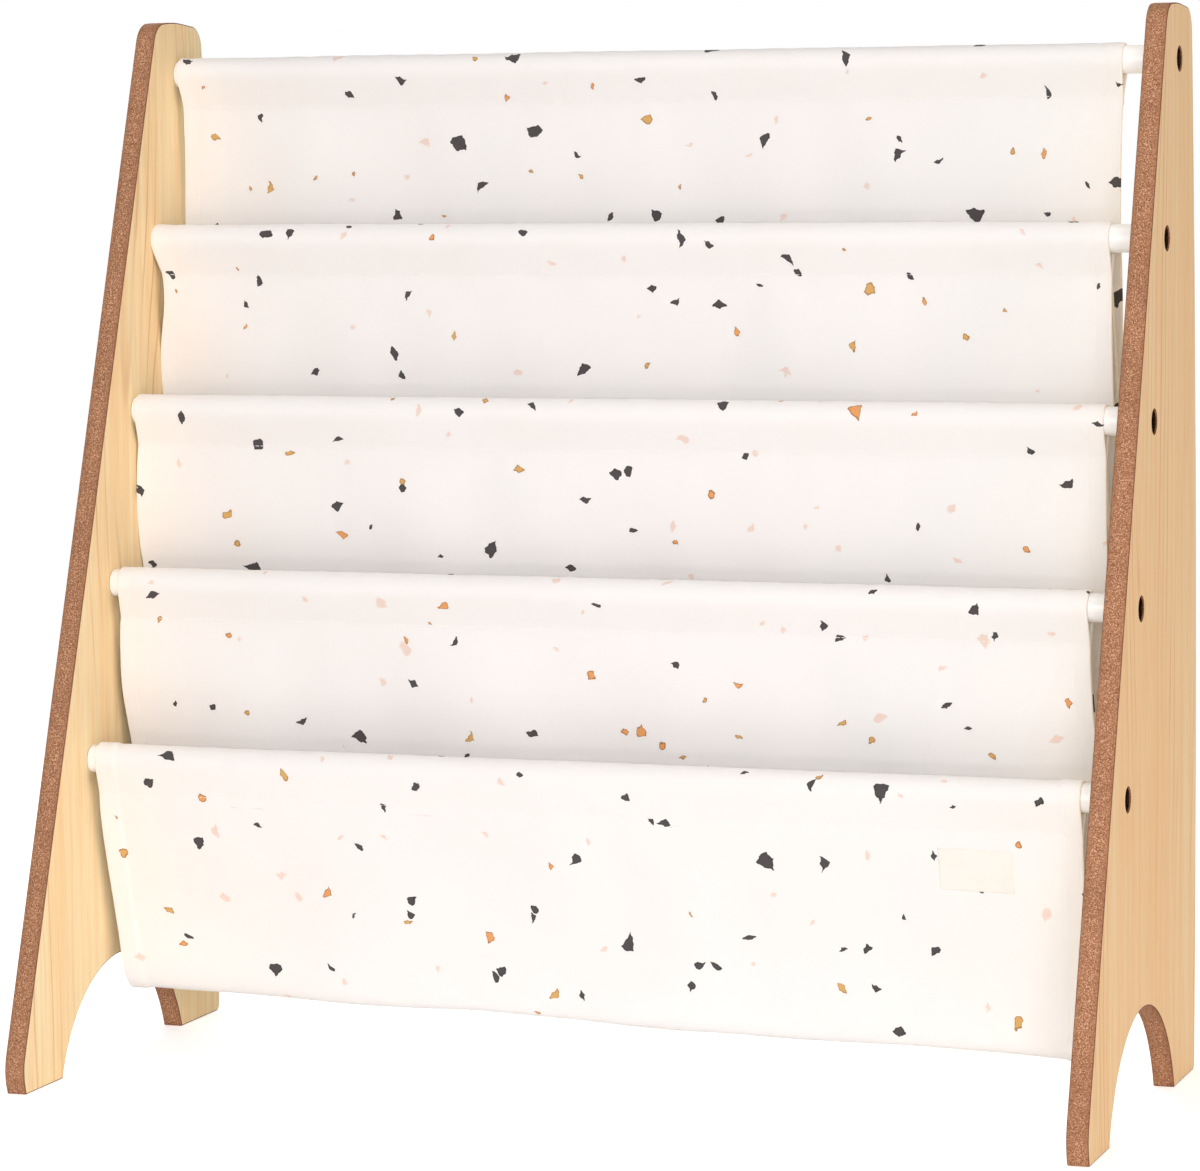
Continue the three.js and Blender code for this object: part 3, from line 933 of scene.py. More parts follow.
@dataclass
class SidePanel:
    """One side board: a leaning front edge, a rounded crown and an arch between two feet."""

    side: Side
    rods: list[Axis]
    thickness: float = 12 * MM
    crown_width: float = 63.7 * MM
    toe_radius: float = 30 * MM
    toe_centre_height: float = 12.5 * MM
    front_corner: float = 16 * MM
    rear_corner: float = 14 * MM
    crown_radius: float = 150 * MM
    crown_fall: float = 0.08
    crown_peak: float = 0.4
    bow_radius: float = 5720 * MM
    bow_height: float = 240 * MM
    heel_radius: float = 4 * MM
    front_foot: float = 49.3 * MM
    rear_foot: float = 60.7 * MM
    arch_rise: float = 60 * MM
    arris: float = 0.7 * MM
    arris_steps: int = 4
    seat_radius: float = 7 * MM
    seat_depth: float = 3.2 * MM
    seat_lip: float = 0.35 * MM
    shank_hole: float = 3.3 * MM
    hole_sides: int = 48
    toe_steps: int = 28
    corner_steps: int = 18
    crown_steps: int = 16
    bow_steps: int = 24
    heel_steps: int = 8
    arch_steps: int = 72

    def outline(self) -> Array:
        """The board's outline in the YZ plane, from arcs that run into each other.

        The front edge is the line from the crown that touches the toe's circle, the rear edge is
        a shallow bow, and the arch is the arc through both feet's inner corners and its rise.

        Returns:
            The outline's points, once round.
        """
        low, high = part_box("side_panel_right")
        depth, height = high.y - low.y, high.z
        toe_centre = np.array([-depth / 2 + self.toe_radius, self.toe_centre_height])

        def rear_y(z: float) -> float:
            """Y of the rear edge at a height."""
            return depth / 2 - self.bow_radius + math.sqrt(self.bow_radius ** 2 - (z - self.bow_height) ** 2)

        crown_front = np.array([rear_y(height) - self.crown_width, height])
        reach = crown_front - toe_centre
        toe_top = math.atan2(reach[1], reach[0]) + math.acos(self.toe_radius / np.linalg.norm(reach))
        touch = toe_centre + self.toe_radius * np.array([math.cos(toe_top), math.sin(toe_top)])
        slope = (crown_front[0] - touch[0]) / (height - touch[1])
        swell = self.crown_radius * (1 / math.cos(math.atan(self.crown_fall)) - 1)
        peak = np.array([crown_front[0] + self.crown_peak * self.crown_width, height + swell])
        fall = self.crown_fall * (touch[0] - touch[1] * slope - peak[0])
        front_z = (peak[1] + fall) / (1 - self.crown_fall * slope)
        front_top = np.array([touch[0] + (front_z - touch[1]) * slope, front_z])
        rear_top = np.array([rear_y(height), peak[1] - self.crown_fall * (rear_y(height) - peak[0])])
        heel = np.array([rear_y(0), 0])
        toe_start = -math.pi + math.asin(self.toe_centre_height / self.toe_radius)
        toe = arc(toe_centre, self.toe_radius, toe_start, toe_top - 2 * math.pi, self.toe_steps)
        bow_centre = np.array([depth / 2 - self.bow_radius, self.bow_height])
        bow_top = math.asin((height - self.bow_height - 2 * self.rear_corner) / self.bow_radius)
        bow_foot = -math.asin((self.bow_height - 2 * self.heel_radius) / self.bow_radius)
        bow = arc(bow_centre, self.bow_radius, bow_top, bow_foot, self.bow_steps)
        span = depth - self.front_foot - self.rear_foot
        radius = (span ** 2 / 4 + self.arch_rise ** 2) / (2 * self.arch_rise)
        half = math.asin(span / 2 / radius)
        arch_centre = np.array([(self.front_foot - self.rear_foot) / 2, self.arch_rise - radius])
        arch = arc(arch_centre, radius, math.pi / 2 - half, math.pi / 2 + half, self.arch_steps)
        return np.concatenate([
            toe, rounded_corner(toe[-1], front_top, peak, self.front_corner, self.corner_steps),
            rounded_corner(front_top, peak, rear_top, self.crown_radius, self.crown_steps),
            rounded_corner(peak, rear_top, bow[0], self.rear_corner, self.corner_steps),
            bow, rounded_corner(bow[-1], heel, arch[0], self.heel_radius, self.heel_steps), arch])

    def inset(self, outline: Array, distance: float) -> Array:
        """The outline moved inwards along the bisector of each corner.

        A point moves by distance / cos(half the turn), so both of its sides move by the distance.

        Args:
            outline: The outline, clockwise seen from +X.
            distance: How far its sides move.

        Returns:
            The moved points.
        """
        along = np.roll(outline, -1, 0) - outline
        along /= np.linalg.norm(along, axis=1)[:, None]
        inward = np.stack([along[:, 1], -along[:, 0]], -1)
        bisector = inward + np.roll(inward, 1, 0)
        return outline + distance * 2 * bisector / (bisector ** 2).sum(1)[:, None]

    def bore(self) -> Turned:
        """The bolt's hole: an eased rim, a seat for the head and a narrow hole for the shank.

        Returns:
            The hole, with its depth from the outer face.
        """
        seat, shank = self.seat_radius, self.shank_hole
        radius = np.array([seat + self.seat_lip, seat, seat, shank, shank])
        depth = np.array([0, self.seat_lip, self.seat_depth, self.seat_depth, self.thickness])
        return Turned(radius, depth, sides=self.hole_sides, capped=False)

    @staticmethod
    def cap(points: Array, loops: Faces, facing: int) -> Faces:
        """Triangles of a flat face that its holes are left out of.

        Args:
            points: The board's points.
            loops: Point numbers round the face, then round each hole.
            facing: 1 where the face looks along +X, and -1 where it looks along -X.

        Returns:
            The triangles.
        """
        numbers = sum(loops, [])
        made = []
        for triangle in tessellate_polygon([[Vector(points[n]) for n in loop] for loop in loops]):
            a, b, c = (numbers[i] for i in triangle)
            way = np.cross(points[b] - points[a], points[c] - points[a])[0]
            made.append([a, b, c] if way * facing > 0 else [a, c, b])
        return made

    def build(self, wardrobe: Wardrobe) -> Object:
        """Builds the board with eased arrises and its five bolt holes.

        The rim is a quarter-round, a flat and a quarter-round carried round the outline; the two
        faces are flat and holed, and each hole is a stepped bore turned about its rod's line.

        Args:
            wardrobe: The finishes.

        Returns:
            The piece.
        """
        outer = self.side.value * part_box("side_panel_right")[1].x
        inward = -self.side.value
        outline = self.outline()
        quarter = np.linspace(0, math.pi / 2, self.arris_steps + 1)
        inset = self.arris * (1 - np.sin(quarter))
        depth = self.arris * (1 - np.cos(quarter))
        inset = np.concatenate([inset, inset[::-1]])
        depth = np.concatenate([depth, self.thickness - depth[::-1]])
        count = len(outline)
        rim = np.concatenate([np.column_stack([np.full(count, outer + inward * d), self.inset(outline, i)])
                              for i, d in zip(inset, depth)])
        quads = grid_faces(len(inset), count, wrap_columns=True)
        a, b, c = (rim[quads[:, k]] for k in (0, 1, 2))
        out = a - rim[:count].mean(0)
        if np.einsum("ij,ij->i", np.cross(b - a, c - a), out).sum() < 0:
            quads = quads[:, ::-1]
        parts = [(rim, quads.tolist())]
        for rod in self.rods:
            hole, hole_faces = self.bore().surface(rod, outer, inward)
            parts.append((hole, [face[::-1] for face in hole_faces]))
        points, faces = joined(parts)
        kinds = [1] * len(faces)
        ends = np.cumsum([len(part) for part, _ in parts]).tolist()
        sizes = [count] + [self.hole_sides] * len(self.rods)
        sharp = np.zeros(len(points), bool)
        for facing, starts in ((-inward, [0, *ends[:-1]]), (inward, [e - s for e, s in zip(ends, sizes)])):
            loops = [list(range(start, start + size)) for start, size in zip(starts, sizes)]
            cap = self.cap(points, loops, facing)
            faces += cap
            kinds += [0] * len(cap)
            sharp[sum(loops, [])] = True
        name = self.side.name.lower()
        surface = Surface(points, faces, np.array(kinds), sharp_points=sharp)
        materials = [wardrobe.laminate, wardrobe.board]
        return surface.piece(f"board_{name}", materials, Slot.LAMINATE, [f"side_panel_{name}"])


# Rods, inserts and bolts


@dataclass
class RodSet:
    """The five rods with their threaded inserts and panel bolts."""

    rods: list[Axis]
    end_round: float = 0.5 * MM
    pilot_radius: float = 3.6 * MM
    pilot_depth: float = 31 * MM
    insert_length: float = 15 * MM
    insert_radius: float = 5 * MM
    flange_radius: float = 6.2 * MM
    flange_thickness: float = 1.2 * MM
    gap: float = 0.3 * MM
    shank_radius: float = 3 * MM
    bolt_length: float = 38 * MM
    head_radius: float = 6.7 * MM
    head_height: float = 2.4 * MM
    head_sink: float = 0.5 * MM
    head_round: float = 0.8 * MM
    socket_apothem: float = 2.5 * MM
    socket_depth: float = 1.7 * MM
    thread_pitch: float = 1 * MM
    thread_depth: float = 0.5 * MM
    rings_per_pitch: int = 4
    insert_rings: int = 56
    socket_lip: float = 0.25 * MM
    plain_length: float = 13 * MM
    tip_plain: float = 1.2 * MM
    tip_chamfer: float = 1 * MM
    rod_sides: int = 72
    insert_sides: int = 40
    bolt_sides: int = 36
    rod_end_steps: int = 4
    head_steps: int = 5

    def rod_profile(self, length: float, radius: float) -> tuple[Array, Array]:
        """Radius and depth of a rod: a stepped bore in each end and softly rounded rims.

        Args:
            length: The rod's length.
            radius: Its radius.

        Returns:
            Radii and depths from one bore's floor to the other's.
        """
        fit = self.insert_radius + self.gap
        seat = self.flange_radius + self.gap
        near = [(self.pilot_radius, self.pilot_depth), (self.pilot_radius, self.insert_length + self.gap),
                (fit, self.insert_length + self.gap), (fit, self.flange_thickness + self.gap),
                (seat, self.flange_thickness + self.gap), (seat, 0)]
        near += [(radius - self.end_round * (1 - math.sin(a)), self.end_round * (1 - math.cos(a)))
                 for a in np.linspace(0, math.pi / 2, self.rod_end_steps + 1)]
        profile = near + [(r, length - d) for r, d in near[::-1]]
        return np.array([r for r, _ in profile]), np.array([d for _, d in profile])

    def rod(self, axis: Axis, wardrobe: Wardrobe) -> Object:
        """Builds one rod.

        Args:
            axis: Its line.
            wardrobe: The finishes.

        Returns:
            The piece.
        """
        radius, depth = self.rod_profile(axis.right - axis.left, axis.radius)
        points, faces = Turned(radius, depth, sides=self.rod_sides).surface(axis, axis.left, 1)
        surface = Surface(points, outward(points, faces), crease_angle=math.radians(35))
        return surface.piece(f"dowel_{axis.number}", [wardrobe.paint], Slot.PAINT, [f"rod_{axis.number}"])

    def insert(self, axis: Axis, side: Side, wardrobe: Wardrobe) -> Object:
        """Builds one insert: a flanged sleeve with a coarse outer thread.

        Args:
            axis: The rod's line.
            side: The end of the rod that it sits in.
            wardrobe: The finishes.

        Returns:
            The piece.
        """
        start = axis.right if side is Side.RIGHT else axis.left
        bore = self.shank_radius + self.gap
        steps = np.linspace(self.flange_thickness, self.insert_length, self.insert_rings)
        wall = np.full(len(steps), self.insert_radius)
        radius = np.concatenate([[bore, self.flange_radius, self.flange_radius], wall, [bore]])
        depth = np.concatenate([[0, 0, self.flange_thickness], steps, [self.insert_length]])
        thread = np.concatenate([[0, 0, 0], np.full(len(steps), self.thread_depth), [0]])
        turned = Turned(radius, depth, thread=thread, pitch=2 * self.thread_pitch, sides=self.insert_sides,
                        closed_profile=True)
        points, faces = turned.surface(axis, start, -side.value)
        name = f"{side.name.lower()}_{axis.number}"
        surface = Surface(points, outward(points, faces), crease_angle=math.radians(30))
        return surface.piece(f"threaded_insert_{name}", [wardrobe.zinc], Slot.ZINC, [f"rod_insert_{name}"])

    def bolt(self, axis: Axis, side: Side, wardrobe: Wardrobe) -> Object:
        """Builds one bolt: hexagon socket, rounded flat head and a threaded shank.

        Args:
            axis: The rod's line.
            side: The panel that it goes through.
            wardrobe: The finishes.

        Returns:
            The piece.
        """
        outer = side.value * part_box("side_panel_right")[1].x
        face, back = self.head_sink, self.head_sink + self.head_height
        tip = self.head_sink + self.bolt_length
        thread_start, thread_end = face + self.plain_length, tip - self.tip_plain
        rings = np.arange(thread_start, thread_end, self.thread_pitch / self.rings_per_pitch)
        socket, lip = self.socket_apothem, self.socket_lip
        profile = [(socket, face + self.socket_depth, 1), (socket, face + lip, 1), (socket + lip, face, 1)]
        for a in np.linspace(0, math.pi / 2, self.head_steps + 1):
            inset, sink = self.head_round * (1 - math.sin(a)), self.head_round * (1 - math.cos(a))
            profile.append((self.head_radius - inset, face + sink, 0))
        profile += [(self.head_radius, back, 0), (self.shank_radius, back, 0)]
        profile += [(self.shank_radius, d, 0) for d in (*rings, tip - self.tip_chamfer)]
        profile.append((self.shank_radius - self.tip_chamfer, tip, 0))
        radius, depth, hexagon = (np.array([row[k] for row in profile], float) for k in range(3))
        threaded = (depth >= thread_start) & (depth < tip - self.tip_chamfer)
        thread = np.where(threaded, self.thread_depth, 0.0)
        turned = Turned(radius, depth, hexagon, thread, self.thread_pitch, self.bolt_sides)
        points, faces = turned.surface(axis, outer, -side.value)
        name = f"{side.name.lower()}_{axis.number}"
        surface = Surface(points, outward(points, faces), crease_angle=math.radians(40))
        return surface.piece(f"bolt_{name}", [wardrobe.bronze], Slot.BRONZE, [f"panel_bolt_{name}"])

    def build(self, wardrobe: Wardrobe) -> list[Object]:
        """Builds every rod, insert and bolt.

        Args:
            wardrobe: The finishes.

        Returns:
            The pieces.
        """
        pieces = [self.rod(axis, wardrobe) for axis in self.rods]
        for side in Side:
            pieces += [self.insert(axis, side, wardrobe) for axis in self.rods]
            pieces += [self.bolt(axis, side, wardrobe) for axis in self.rods]
        return pieces


# Sling


def spline(controls: Array, samples: int) -> Array:
    """A smooth curve through control points, evenly sampled.

    Each part between two controls is the Catmull-Rom cubic of them and their neighbours, in
    centripetal spacing: knots grow by the square root of the distance between controls.

    Args:
        controls: The control points, two numbers each.
        samples: Samples in each part.

    Returns:
        The curve's points, both ends included.
    """
    padded = np.concatenate([[2 * controls[0] - controls[1]], controls, [2 * controls[-1] - controls[-2]]])
    knots = np.concatenate([[0], np.cumsum(np.sqrt(np.linalg.norm(np.diff(padded, axis=0), axis=1)))])
    share = np.linspace(0, 1, samples, endpoint=False)
    curve = []
    for i in range(1, len(padded) - 2):
        p, k = padded[i - 1:i + 3], knots[i - 1:i + 3]
        t = (k[1] + share * (k[2] - k[1]))[:, None]
        a = [((k[j + 1] - t) * p[j] + (t - k[j]) * p[j + 1]) / (k[j + 1] - k[j]) for j in range(3)]
        b = [((k[j + 2] - t) * a[j] + (t - k[j]) * a[j + 1]) / (k[j + 2] - k[j]) for j in range(2)]
        curve.append(((k[2] - t) * b[0] + (t - k[1]) * b[1]) / (k[2] - k[1]))
    return np.concatenate([*curve, controls[-1:]])


def creases(across: Array, below: Array, left: float, right: float, seed: int, count: int) -> Array:
    """Soft creases that run down from a seam and die out.

    Each crease is a bell-shaped ridge across the sheet whose middle slants a little with the
    distance below the seam. It comes up over the first 8 mm and is highest near the seam. Its
    place, its width of 6 to 15 mm, its reach of 40 to 95 mm and its height are drawn once from a
    seed.

    Args:
        across: Place across the sheet.
        below: Distance below the seam.
        left: Least place of a crease.
        right: Greatest place of a crease.
        seed: Seed of the draw.
        count: How many creases there are.

    Returns:
        The height of the creases, 1 at the most for one alone.
    """
    onset = 8 * MM
    draw = np.random.default_rng(seed)
    middles = np.linspace(left, right, count) + draw.uniform(-0.4, 0.4, count) * (right - left) / count
    widths, reaches = draw.uniform(6, 15, count) * MM, draw.uniform(40, 95, count) * MM
    slants, heights = draw.uniform(-0.3, 0.3, count), draw.uniform(0.35, 1.0, count)
    total = np.zeros(np.broadcast(across, below).shape)
    for middle, width, reach, slant, height in zip(middles, widths, reaches, slants, heights):
        spread = width * (1 + below / reach)
        fade = np.exp(-(below / reach) ** 2) * np.clip(below / onset, 0, 1)
        total += height * fade * np.exp(-((across - middle - slant * below) / spread) ** 2)
    return total


@dataclass(frozen=True)
class Waves:
    """Soft irregular waves over the cloth: a height, a usual length, a seed and a pull.

    They are the sum of a few sines whose directions, lengths and phases are drawn once from the
    seed. The sum stays within about 1 before it is given its height, and the pull scales the
    place down the sheet, so waves with less pull run on further.
    """

    height: float
    length: float
    seed: int
    pull: float = 1.0
    sines: int = 6

    def over(self, across: Array, down: Array) -> Array:
        """The waves' height at each place.

        Args:
            across: Place across the sheet.
            down: Place down the sheet.

        Returns:
            The height in metres.
        """
        draw = np.random.default_rng(self.seed)
        lengths = self.length * draw.uniform(0.7, 1.4, self.sines)
        slants = draw.uniform(-0.35, 0.35, self.sines)
        phases = draw.uniform(0, 2 * math.pi, self.sines)
        total = np.zeros(np.broadcast(across, down).shape)
        for length, slant, phase in zip(lengths, slants, phases):
            way = across * math.cos(slant) + self.pull * down * math.sin(slant)
            total += np.sin(2 * math.pi * way / length + phase)
        return self.height * total / math.sqrt(self.sines)


@dataclass(frozen=True)
class Hang:
    """How the cloth of one row hangs, in mm and in places below the rod that carries it.

    sweep pairs a drop with how far the wall stands behind the rod's line; left and right pair a
    drop with the X of the cloth's edge there; tilt is how much lower the fold's right end lies.
    """

    sweep: tuple[tuple[float, float], ...]
    left: tuple[tuple[float, float], ...]
    right: tuple[tuple[float, float], ...]
    tilt: float


HANGS = (
    Hang(((60, 0.5), (90, 3), (125, 8), (165, 9), (205, 4)),
         ((4, -298), (11, -296.4), (60, -297.4), (100, -299)),
         ((0, 281.5), (34, 279.6), (95, 277.6)), 1.5),
    Hang(((60, 1), (90, 4), (125, 9), (165, 10), (205, 4.5)),
         ((-3, -300.6), (6, -300.4), (18, -296.8), (30, -295.7), (41, -296.1), (54, -298.8), (70, -300.5)),
         ((10, 281.2), (95, 281.4)), -1.5),
    Hang(((60, 0.5), (80, 3), (100, 8), (130, 13), (168, 12), (205, 5)),
         ((8, -297.8), (30, -299.6), (60, -300.3), (80, -300), (95, -299.2)),
         ((9, 285.6), (80, 285.1), (95, 285.7)), 2),
    Hang(((60, 0.8), (80, 5), (100, 10), (130, 14.5), (168, 12), (205, 4)),
         ((8, -294.6), (25, -296.8), (60, -297.1), (78, -296.2), (95, -295.2)),
         ((12, 284.2), (40, 284), (66, 284.8), (78, 285.6), (95, 286.6)), 11),
    Hang(((60, 10.5), (100, 21)),
         ((8, -294.6), (24, -296), (100, -295.4), (122, -293.7), (137, -290.5)),
         ((5, 287.9), (40, 287.2), (137, 284)), 11),
)


@dataclass
class SlingPath:
    """The sling's middle line from end to end, with what changes along it, one value for each row.

    free grows from 0 at a seam to 1 where the cloth hangs free, low from 0 at the front rod's
    seam to 1 at the fold, and seam is 1 at a seam alone. below is the distance from the nearest
    seam, rising is 1 on a front wall, wall is the pocket's number or -1 on a sleeve, and seams
    holds the distance along the line of every seam.
    """

    y: Array
    z: Array
    left: Array
    right: Array
    free: Array
    low: Array
    tilt: Array
    seam: Array
    below: Array
    rising: Array
    wall: Array
    seams: Array = field(default_factory=lambda: np.array([]))

    @property
    def length(self) -> Array:
        """Distance along the line from its start."""
        return travelled(np.stack([self.y, self.z], -1))


@dataclass
class Sling:
    """The hemmed cloth: over each rod in a stitched sleeve, and down in a pocket between rods."""

    rods: list[Axis]
    thickness: float = 1.1 * MM
    rod_clearance: float = 0.35 * MM
    over_steps: int = 60
    seam_drop: float = 20 * MM
    seam_gap: float = 0.1 * MM
    straight_drop: float = 12 * MM
    pocket_depth: float = 144 * MM
    pocket_sweep: float = 30 * MM
    fold_half_width: float = 7 * MM
    fold_rise: float = 6 * MM
    front_sweep: tuple[tuple[float, float], ...] = ((0.3, 0.69), (0.65, 0.33), (0.93, 0.04))
    wall_samples: int = 24
    hem_width: float = 11 * MM
    hem_extra: float = 0.8 * MM
    hem_step: float = 1.2 * MM
    hem_columns: tuple[float, ...] = (0, 0.06, 0.18, 0.4, 0.65, 0.88, 1.0, 1.12)
    inner_columns_start: float = 1.25
    nominal_width: float = 0.58
    tail: float = 6 * MM
    tail_lean: float = 0.5 * MM
    rows: int = 430
    columns: int = 96
    rim_steps: int = 4
    line_step: float = 0.4 * MM
    line_smoothing: int = 3
    edge_smoothing: int = 14
    sleeve_density: float = 2.2
    fold_density: float = 2.0
    fold_reach: float = 14 * MM
    seam_density: float = 2.0
    seam_reach: float = 6 * MM
    free_reach: float = 30 * MM
    pucker_reach: float = 2.2 * MM
    folds: Waves = Waves(1.5 * MM, 190 * MM, 11)
    ruffles: Waves = Waves(0.55 * MM, 70 * MM, 5)
    low_calm: float = 0.7
    low_folds: Waves = Waves(0.6 * MM, 300 * MM, 23, 0.3)
    puckers: Waves = Waves(0.28 * MM, 11 * MM, 3)
    gathers: Waves = Waves(0.35 * MM, 35 * MM, 8, 0.5)
    crease_height: float = 1.1 * MM
    crease_count: int = 9
    crease_seed: int = 40

    def __post_init__(self) -> None:
        """Works out the sheet's middle surface and its normals.

        A point is the line's point at its row, between the row's two edges, moved along the
        line's normal by the waves: slow folds where the cloth hangs free, short puckers beside
        the seams and creases that run down from them. The fold's right end is let down by the
        row's tilt.
        """
        path = self.path()
        u = self._columns()
        width = (path.right - path.left)[:, None]
        x, s = path.left[:, None] + u * width, path.length[:, None]
        slope_y, slope_z = np.gradient(path.y, path.length), np.gradient(path.z, path.length)
        size = np.hypot(slope_y, slope_z)
        free, low, seam = path.free[:, None], path.low[:, None], path.seam[:, None]
        waves = free * (self.folds.over(x, s) + self.ruffles.over(x, s)) * (1 - self.low_calm * low ** 2)
        waves += low ** 2 * self.low_folds.over(x, s)
        below, left, right = path.below[:, None], path.left.mean(), path.right.mean()
        for wall in range(len(self.rods) - 1):
            for rising in (0, 1):
                here = ((np.round(path.wall) == wall) & (np.round(path.rising) == rising))[:, None]
                seed = self.crease_seed + 2 * wall + rising
                ridges = creases(x, below, left, right, seed, self.crease_count)
                waves += self.crease_height * here * ridges
        puckers = seam * self.puckers.over(x, s) + (1 - free) * self.gathers.over(x, s)
        move = waves + np.abs(puckers)
        y = path.y[:, None] + (slope_z / size)[:, None] * move
        z = path.z[:, None] - (slope_y / size)[:, None] * move + path.tilt[:, None] * (0.5 - u)
        self.path_line = path
        self.u = u
        self.cut = np.stack(np.broadcast_arrays(u * width.mean(), s), -1)
        self.centre = np.stack([x, y, z], -1)
        normal = np.cross(np.gradient(self.centre, axis=0), np.gradient(self.centre, axis=1))
        self.normal = normal / np.linalg.norm(normal, axis=-1)[..., None]

    @property
    def seam_half(self) -> float:
        """Distance from a seam's plane to the middle of either layer."""
        return self.thickness / 2 + self.seam_gap

    @property
    def flat(self) -> tuple[float, float]:
        """Width and length of the cloth before it was hemmed."""
        width = float(np.mean(self.path_line.right - self.path_line.left)) + 2 * self.hem_width
        return width, float(self.path_line.length[-1]) + 2 * self.tail

    def sleeve(self, axis: Axis, behind: bool) -> Array:
        """The middle line over one rod, from the seam at one side to the seam at the other.

        It is the tangent from the seam to a circle round the rod, the arc over the top and the
        tangent down again.

        Args:
            axis: The rod.
            behind: Whether the line starts behind the rod.

        Returns:
            Points in the YZ plane.
        """
        radius = axis.radius + self.rod_clearance + self.thickness / 2
        gap = self.seam_half
        foot = math.atan2(-self.seam_drop, gap)
        start = foot + math.acos(radius / math.hypot(self.seam_drop, gap))
        over = arc(np.zeros(2), radius, start, math.pi - start, self.over_steps)
        line = np.concatenate([[[gap, -self.seam_drop]], over, [[-gap, -self.seam_drop]]])
        line = line if behind else line[::-1]
        return line + np.array([axis.y, axis.z])

    def tail_end(self, axis: Axis) -> Array:
        """The short end of the cloth that hangs below a sleeve's seam, behind its rod."""
        y, z = axis.y + self.seam_half, axis.z - self.seam_drop
        return np.array([[y + self.tail_lean, z - self.tail], [y, z]])

    def wall(self, index: int) -> Array:
        """The middle line of one pocket, from the back rod's seam to the front rod's seam.

        It is a spline that drops straight from the back seam, follows the row's sweep, turns
        round the fold and comes up to the front seam. front_sweep pairs a share of the front
        wall's height with a share of the fold's distance behind that seam.

        Args:
            index: The pocket's number, from 0.

        Returns:
            Points in the YZ plane.
        """
        back, front = self.rods[index], self.rods[index + 1]
        seam_y, seam_z = back.y - self.seam_half, back.z - self.seam_drop
        last = index == len(self.rods) - 2
        fold = np.array([front.y + self.pocket_sweep, front.z - self.pocket_depth + self.thickness / 2])
        top = np.array([front.y + (-1 if last else 1) * self.seam_half, front.z - self.seam_drop])
        height = top[1] - fold[1]
        controls = [[seam_y, seam_z], [seam_y, seam_z - self.straight_drop]]
        controls += [[back.y + behind * MM, back.z - drop * MM] for drop, behind in HANGS[index].sweep]
        controls += [fold + [self.fold_half_width, self.fold_rise], fold]
        controls += [fold + [-self.fold_half_width, self.fold_rise]]
        controls += [[top[0] + share * (fold[0] - top[0]), fold[1] + rise * height]
                     for rise, share in self.front_sweep]
        return spline(np.array([*controls, top]), self.wall_samples)

    def path(self) -> SlingPath:
        """Joins sleeves and walls into one line and places its rows.

        Rows lie closer at the seams, over the rods and round the folds: their number up to a
        place is the sum of a density along the line.

        Returns:
            The line.
        """
        last = len(self.rods) - 1
        parts = [(self.tail_end(self.rods[0]), 0, True)]
        for i, axis in enumerate(self.rods):
            parts.append((self.sleeve(axis, i < last), i, True))
            if i < last:
                parts.append((self.wall(i), i, False))
        parts.append((self.tail_end(self.rods[last])[::-1], last, True))
        fine = [self._resample(part) for part, _, _ in parts]
        line = np.concatenate(fine)
        keep = np.concatenate([[True], np.linalg.norm(np.diff(line, axis=0), axis=1) > 1e-6])
        piece = np.repeat(np.arange(len(fine)), [len(part) for part in fine])[keep]
        line = self._smooth(line[keep], self.line_smoothing)
        s = travelled(line)
        index = np.array([row for _, row, _ in parts])[piece]
        is_sleeve = np.array([sleeve for _, _, sleeve in parts])[piece]
        places = [piece == number for number in range(len(parts))]
        starts, ends = (np.array([end(s[place]) for place in places]) for end in (np.min, np.max))
        bottoms = np.array([line[place, 1].min() for place in places])
        front = ~is_sleeve & (s > ((starts + ends) / 2)[piece])
        seam_far = np.minimum(s - starts[piece], ends[piece] - s)
        density = 1 + self.sleeve_density * is_sleeve
        density += self.fold_density * ~is_sleeve * self._bell(line[:, 1] - bottoms[piece], self.fold_reach)
        density += self.seam_density * self._bell(seam_far, self.seam_reach)
        count = np.concatenate([[0], np.cumsum((density[1:] + density[:-1]) / 2 * np.diff(s))])
        at = np.interp(np.linspace(0, count[-1], self.rows), count, s)
        rod_z = np.array([rod.z for rod in self.rods])
        front_top = np.append(rod_z[1:], rod_z[-1])[index] - self.seam_drop
        low = np.clip((front_top - line[:, 1]) / (self.pocket_depth - self.seam_drop), 0, 1) * ~is_sleeve
        left, right = self._edges(index, front, rod_z[index] - line[:, 1], last)
        tilts = np.array([hang.tilt for hang in HANGS]) * MM
        free = np.clip(seam_far / self.free_reach, 0, 1) * ~is_sleeve
        wall = np.where(is_sleeve, -1.0, index)
        values = {"y": line[:, 0], "z": line[:, 1], "left": left, "right": right, "free": free, "low": low,
                  "tilt": tilts[index] * low, "seam": self._bell(seam_far, self.pucker_reach),
                  "below": seam_far * ~is_sleeve, "rising": 1.0 * front, "wall": wall}
        path = SlingPath(**{name: np.interp(at, s, value) for name, value in values.items()})
        path.seams = np.interp(ends[:-1], at, path.length)
        return path

    @staticmethod
    def _bell(distance: Array, reach: float) -> Array:
        """A bell curve that is 1 at no distance and 1 / e at the reach."""
        return np.exp(-(distance / reach) ** 2)

    def _resample(self, line: Array) -> Array:
        """The same line with even steps.

        Args:
            line: Points of the line.

        Returns:
            Points about line_step apart.
        """
        s = travelled(line)
        at = np.linspace(0, s[-1], max(2, int(s[-1] / self.line_step)))
        return np.stack([np.interp(at, s, line[:, k]) for k in (0, 1)], -1)

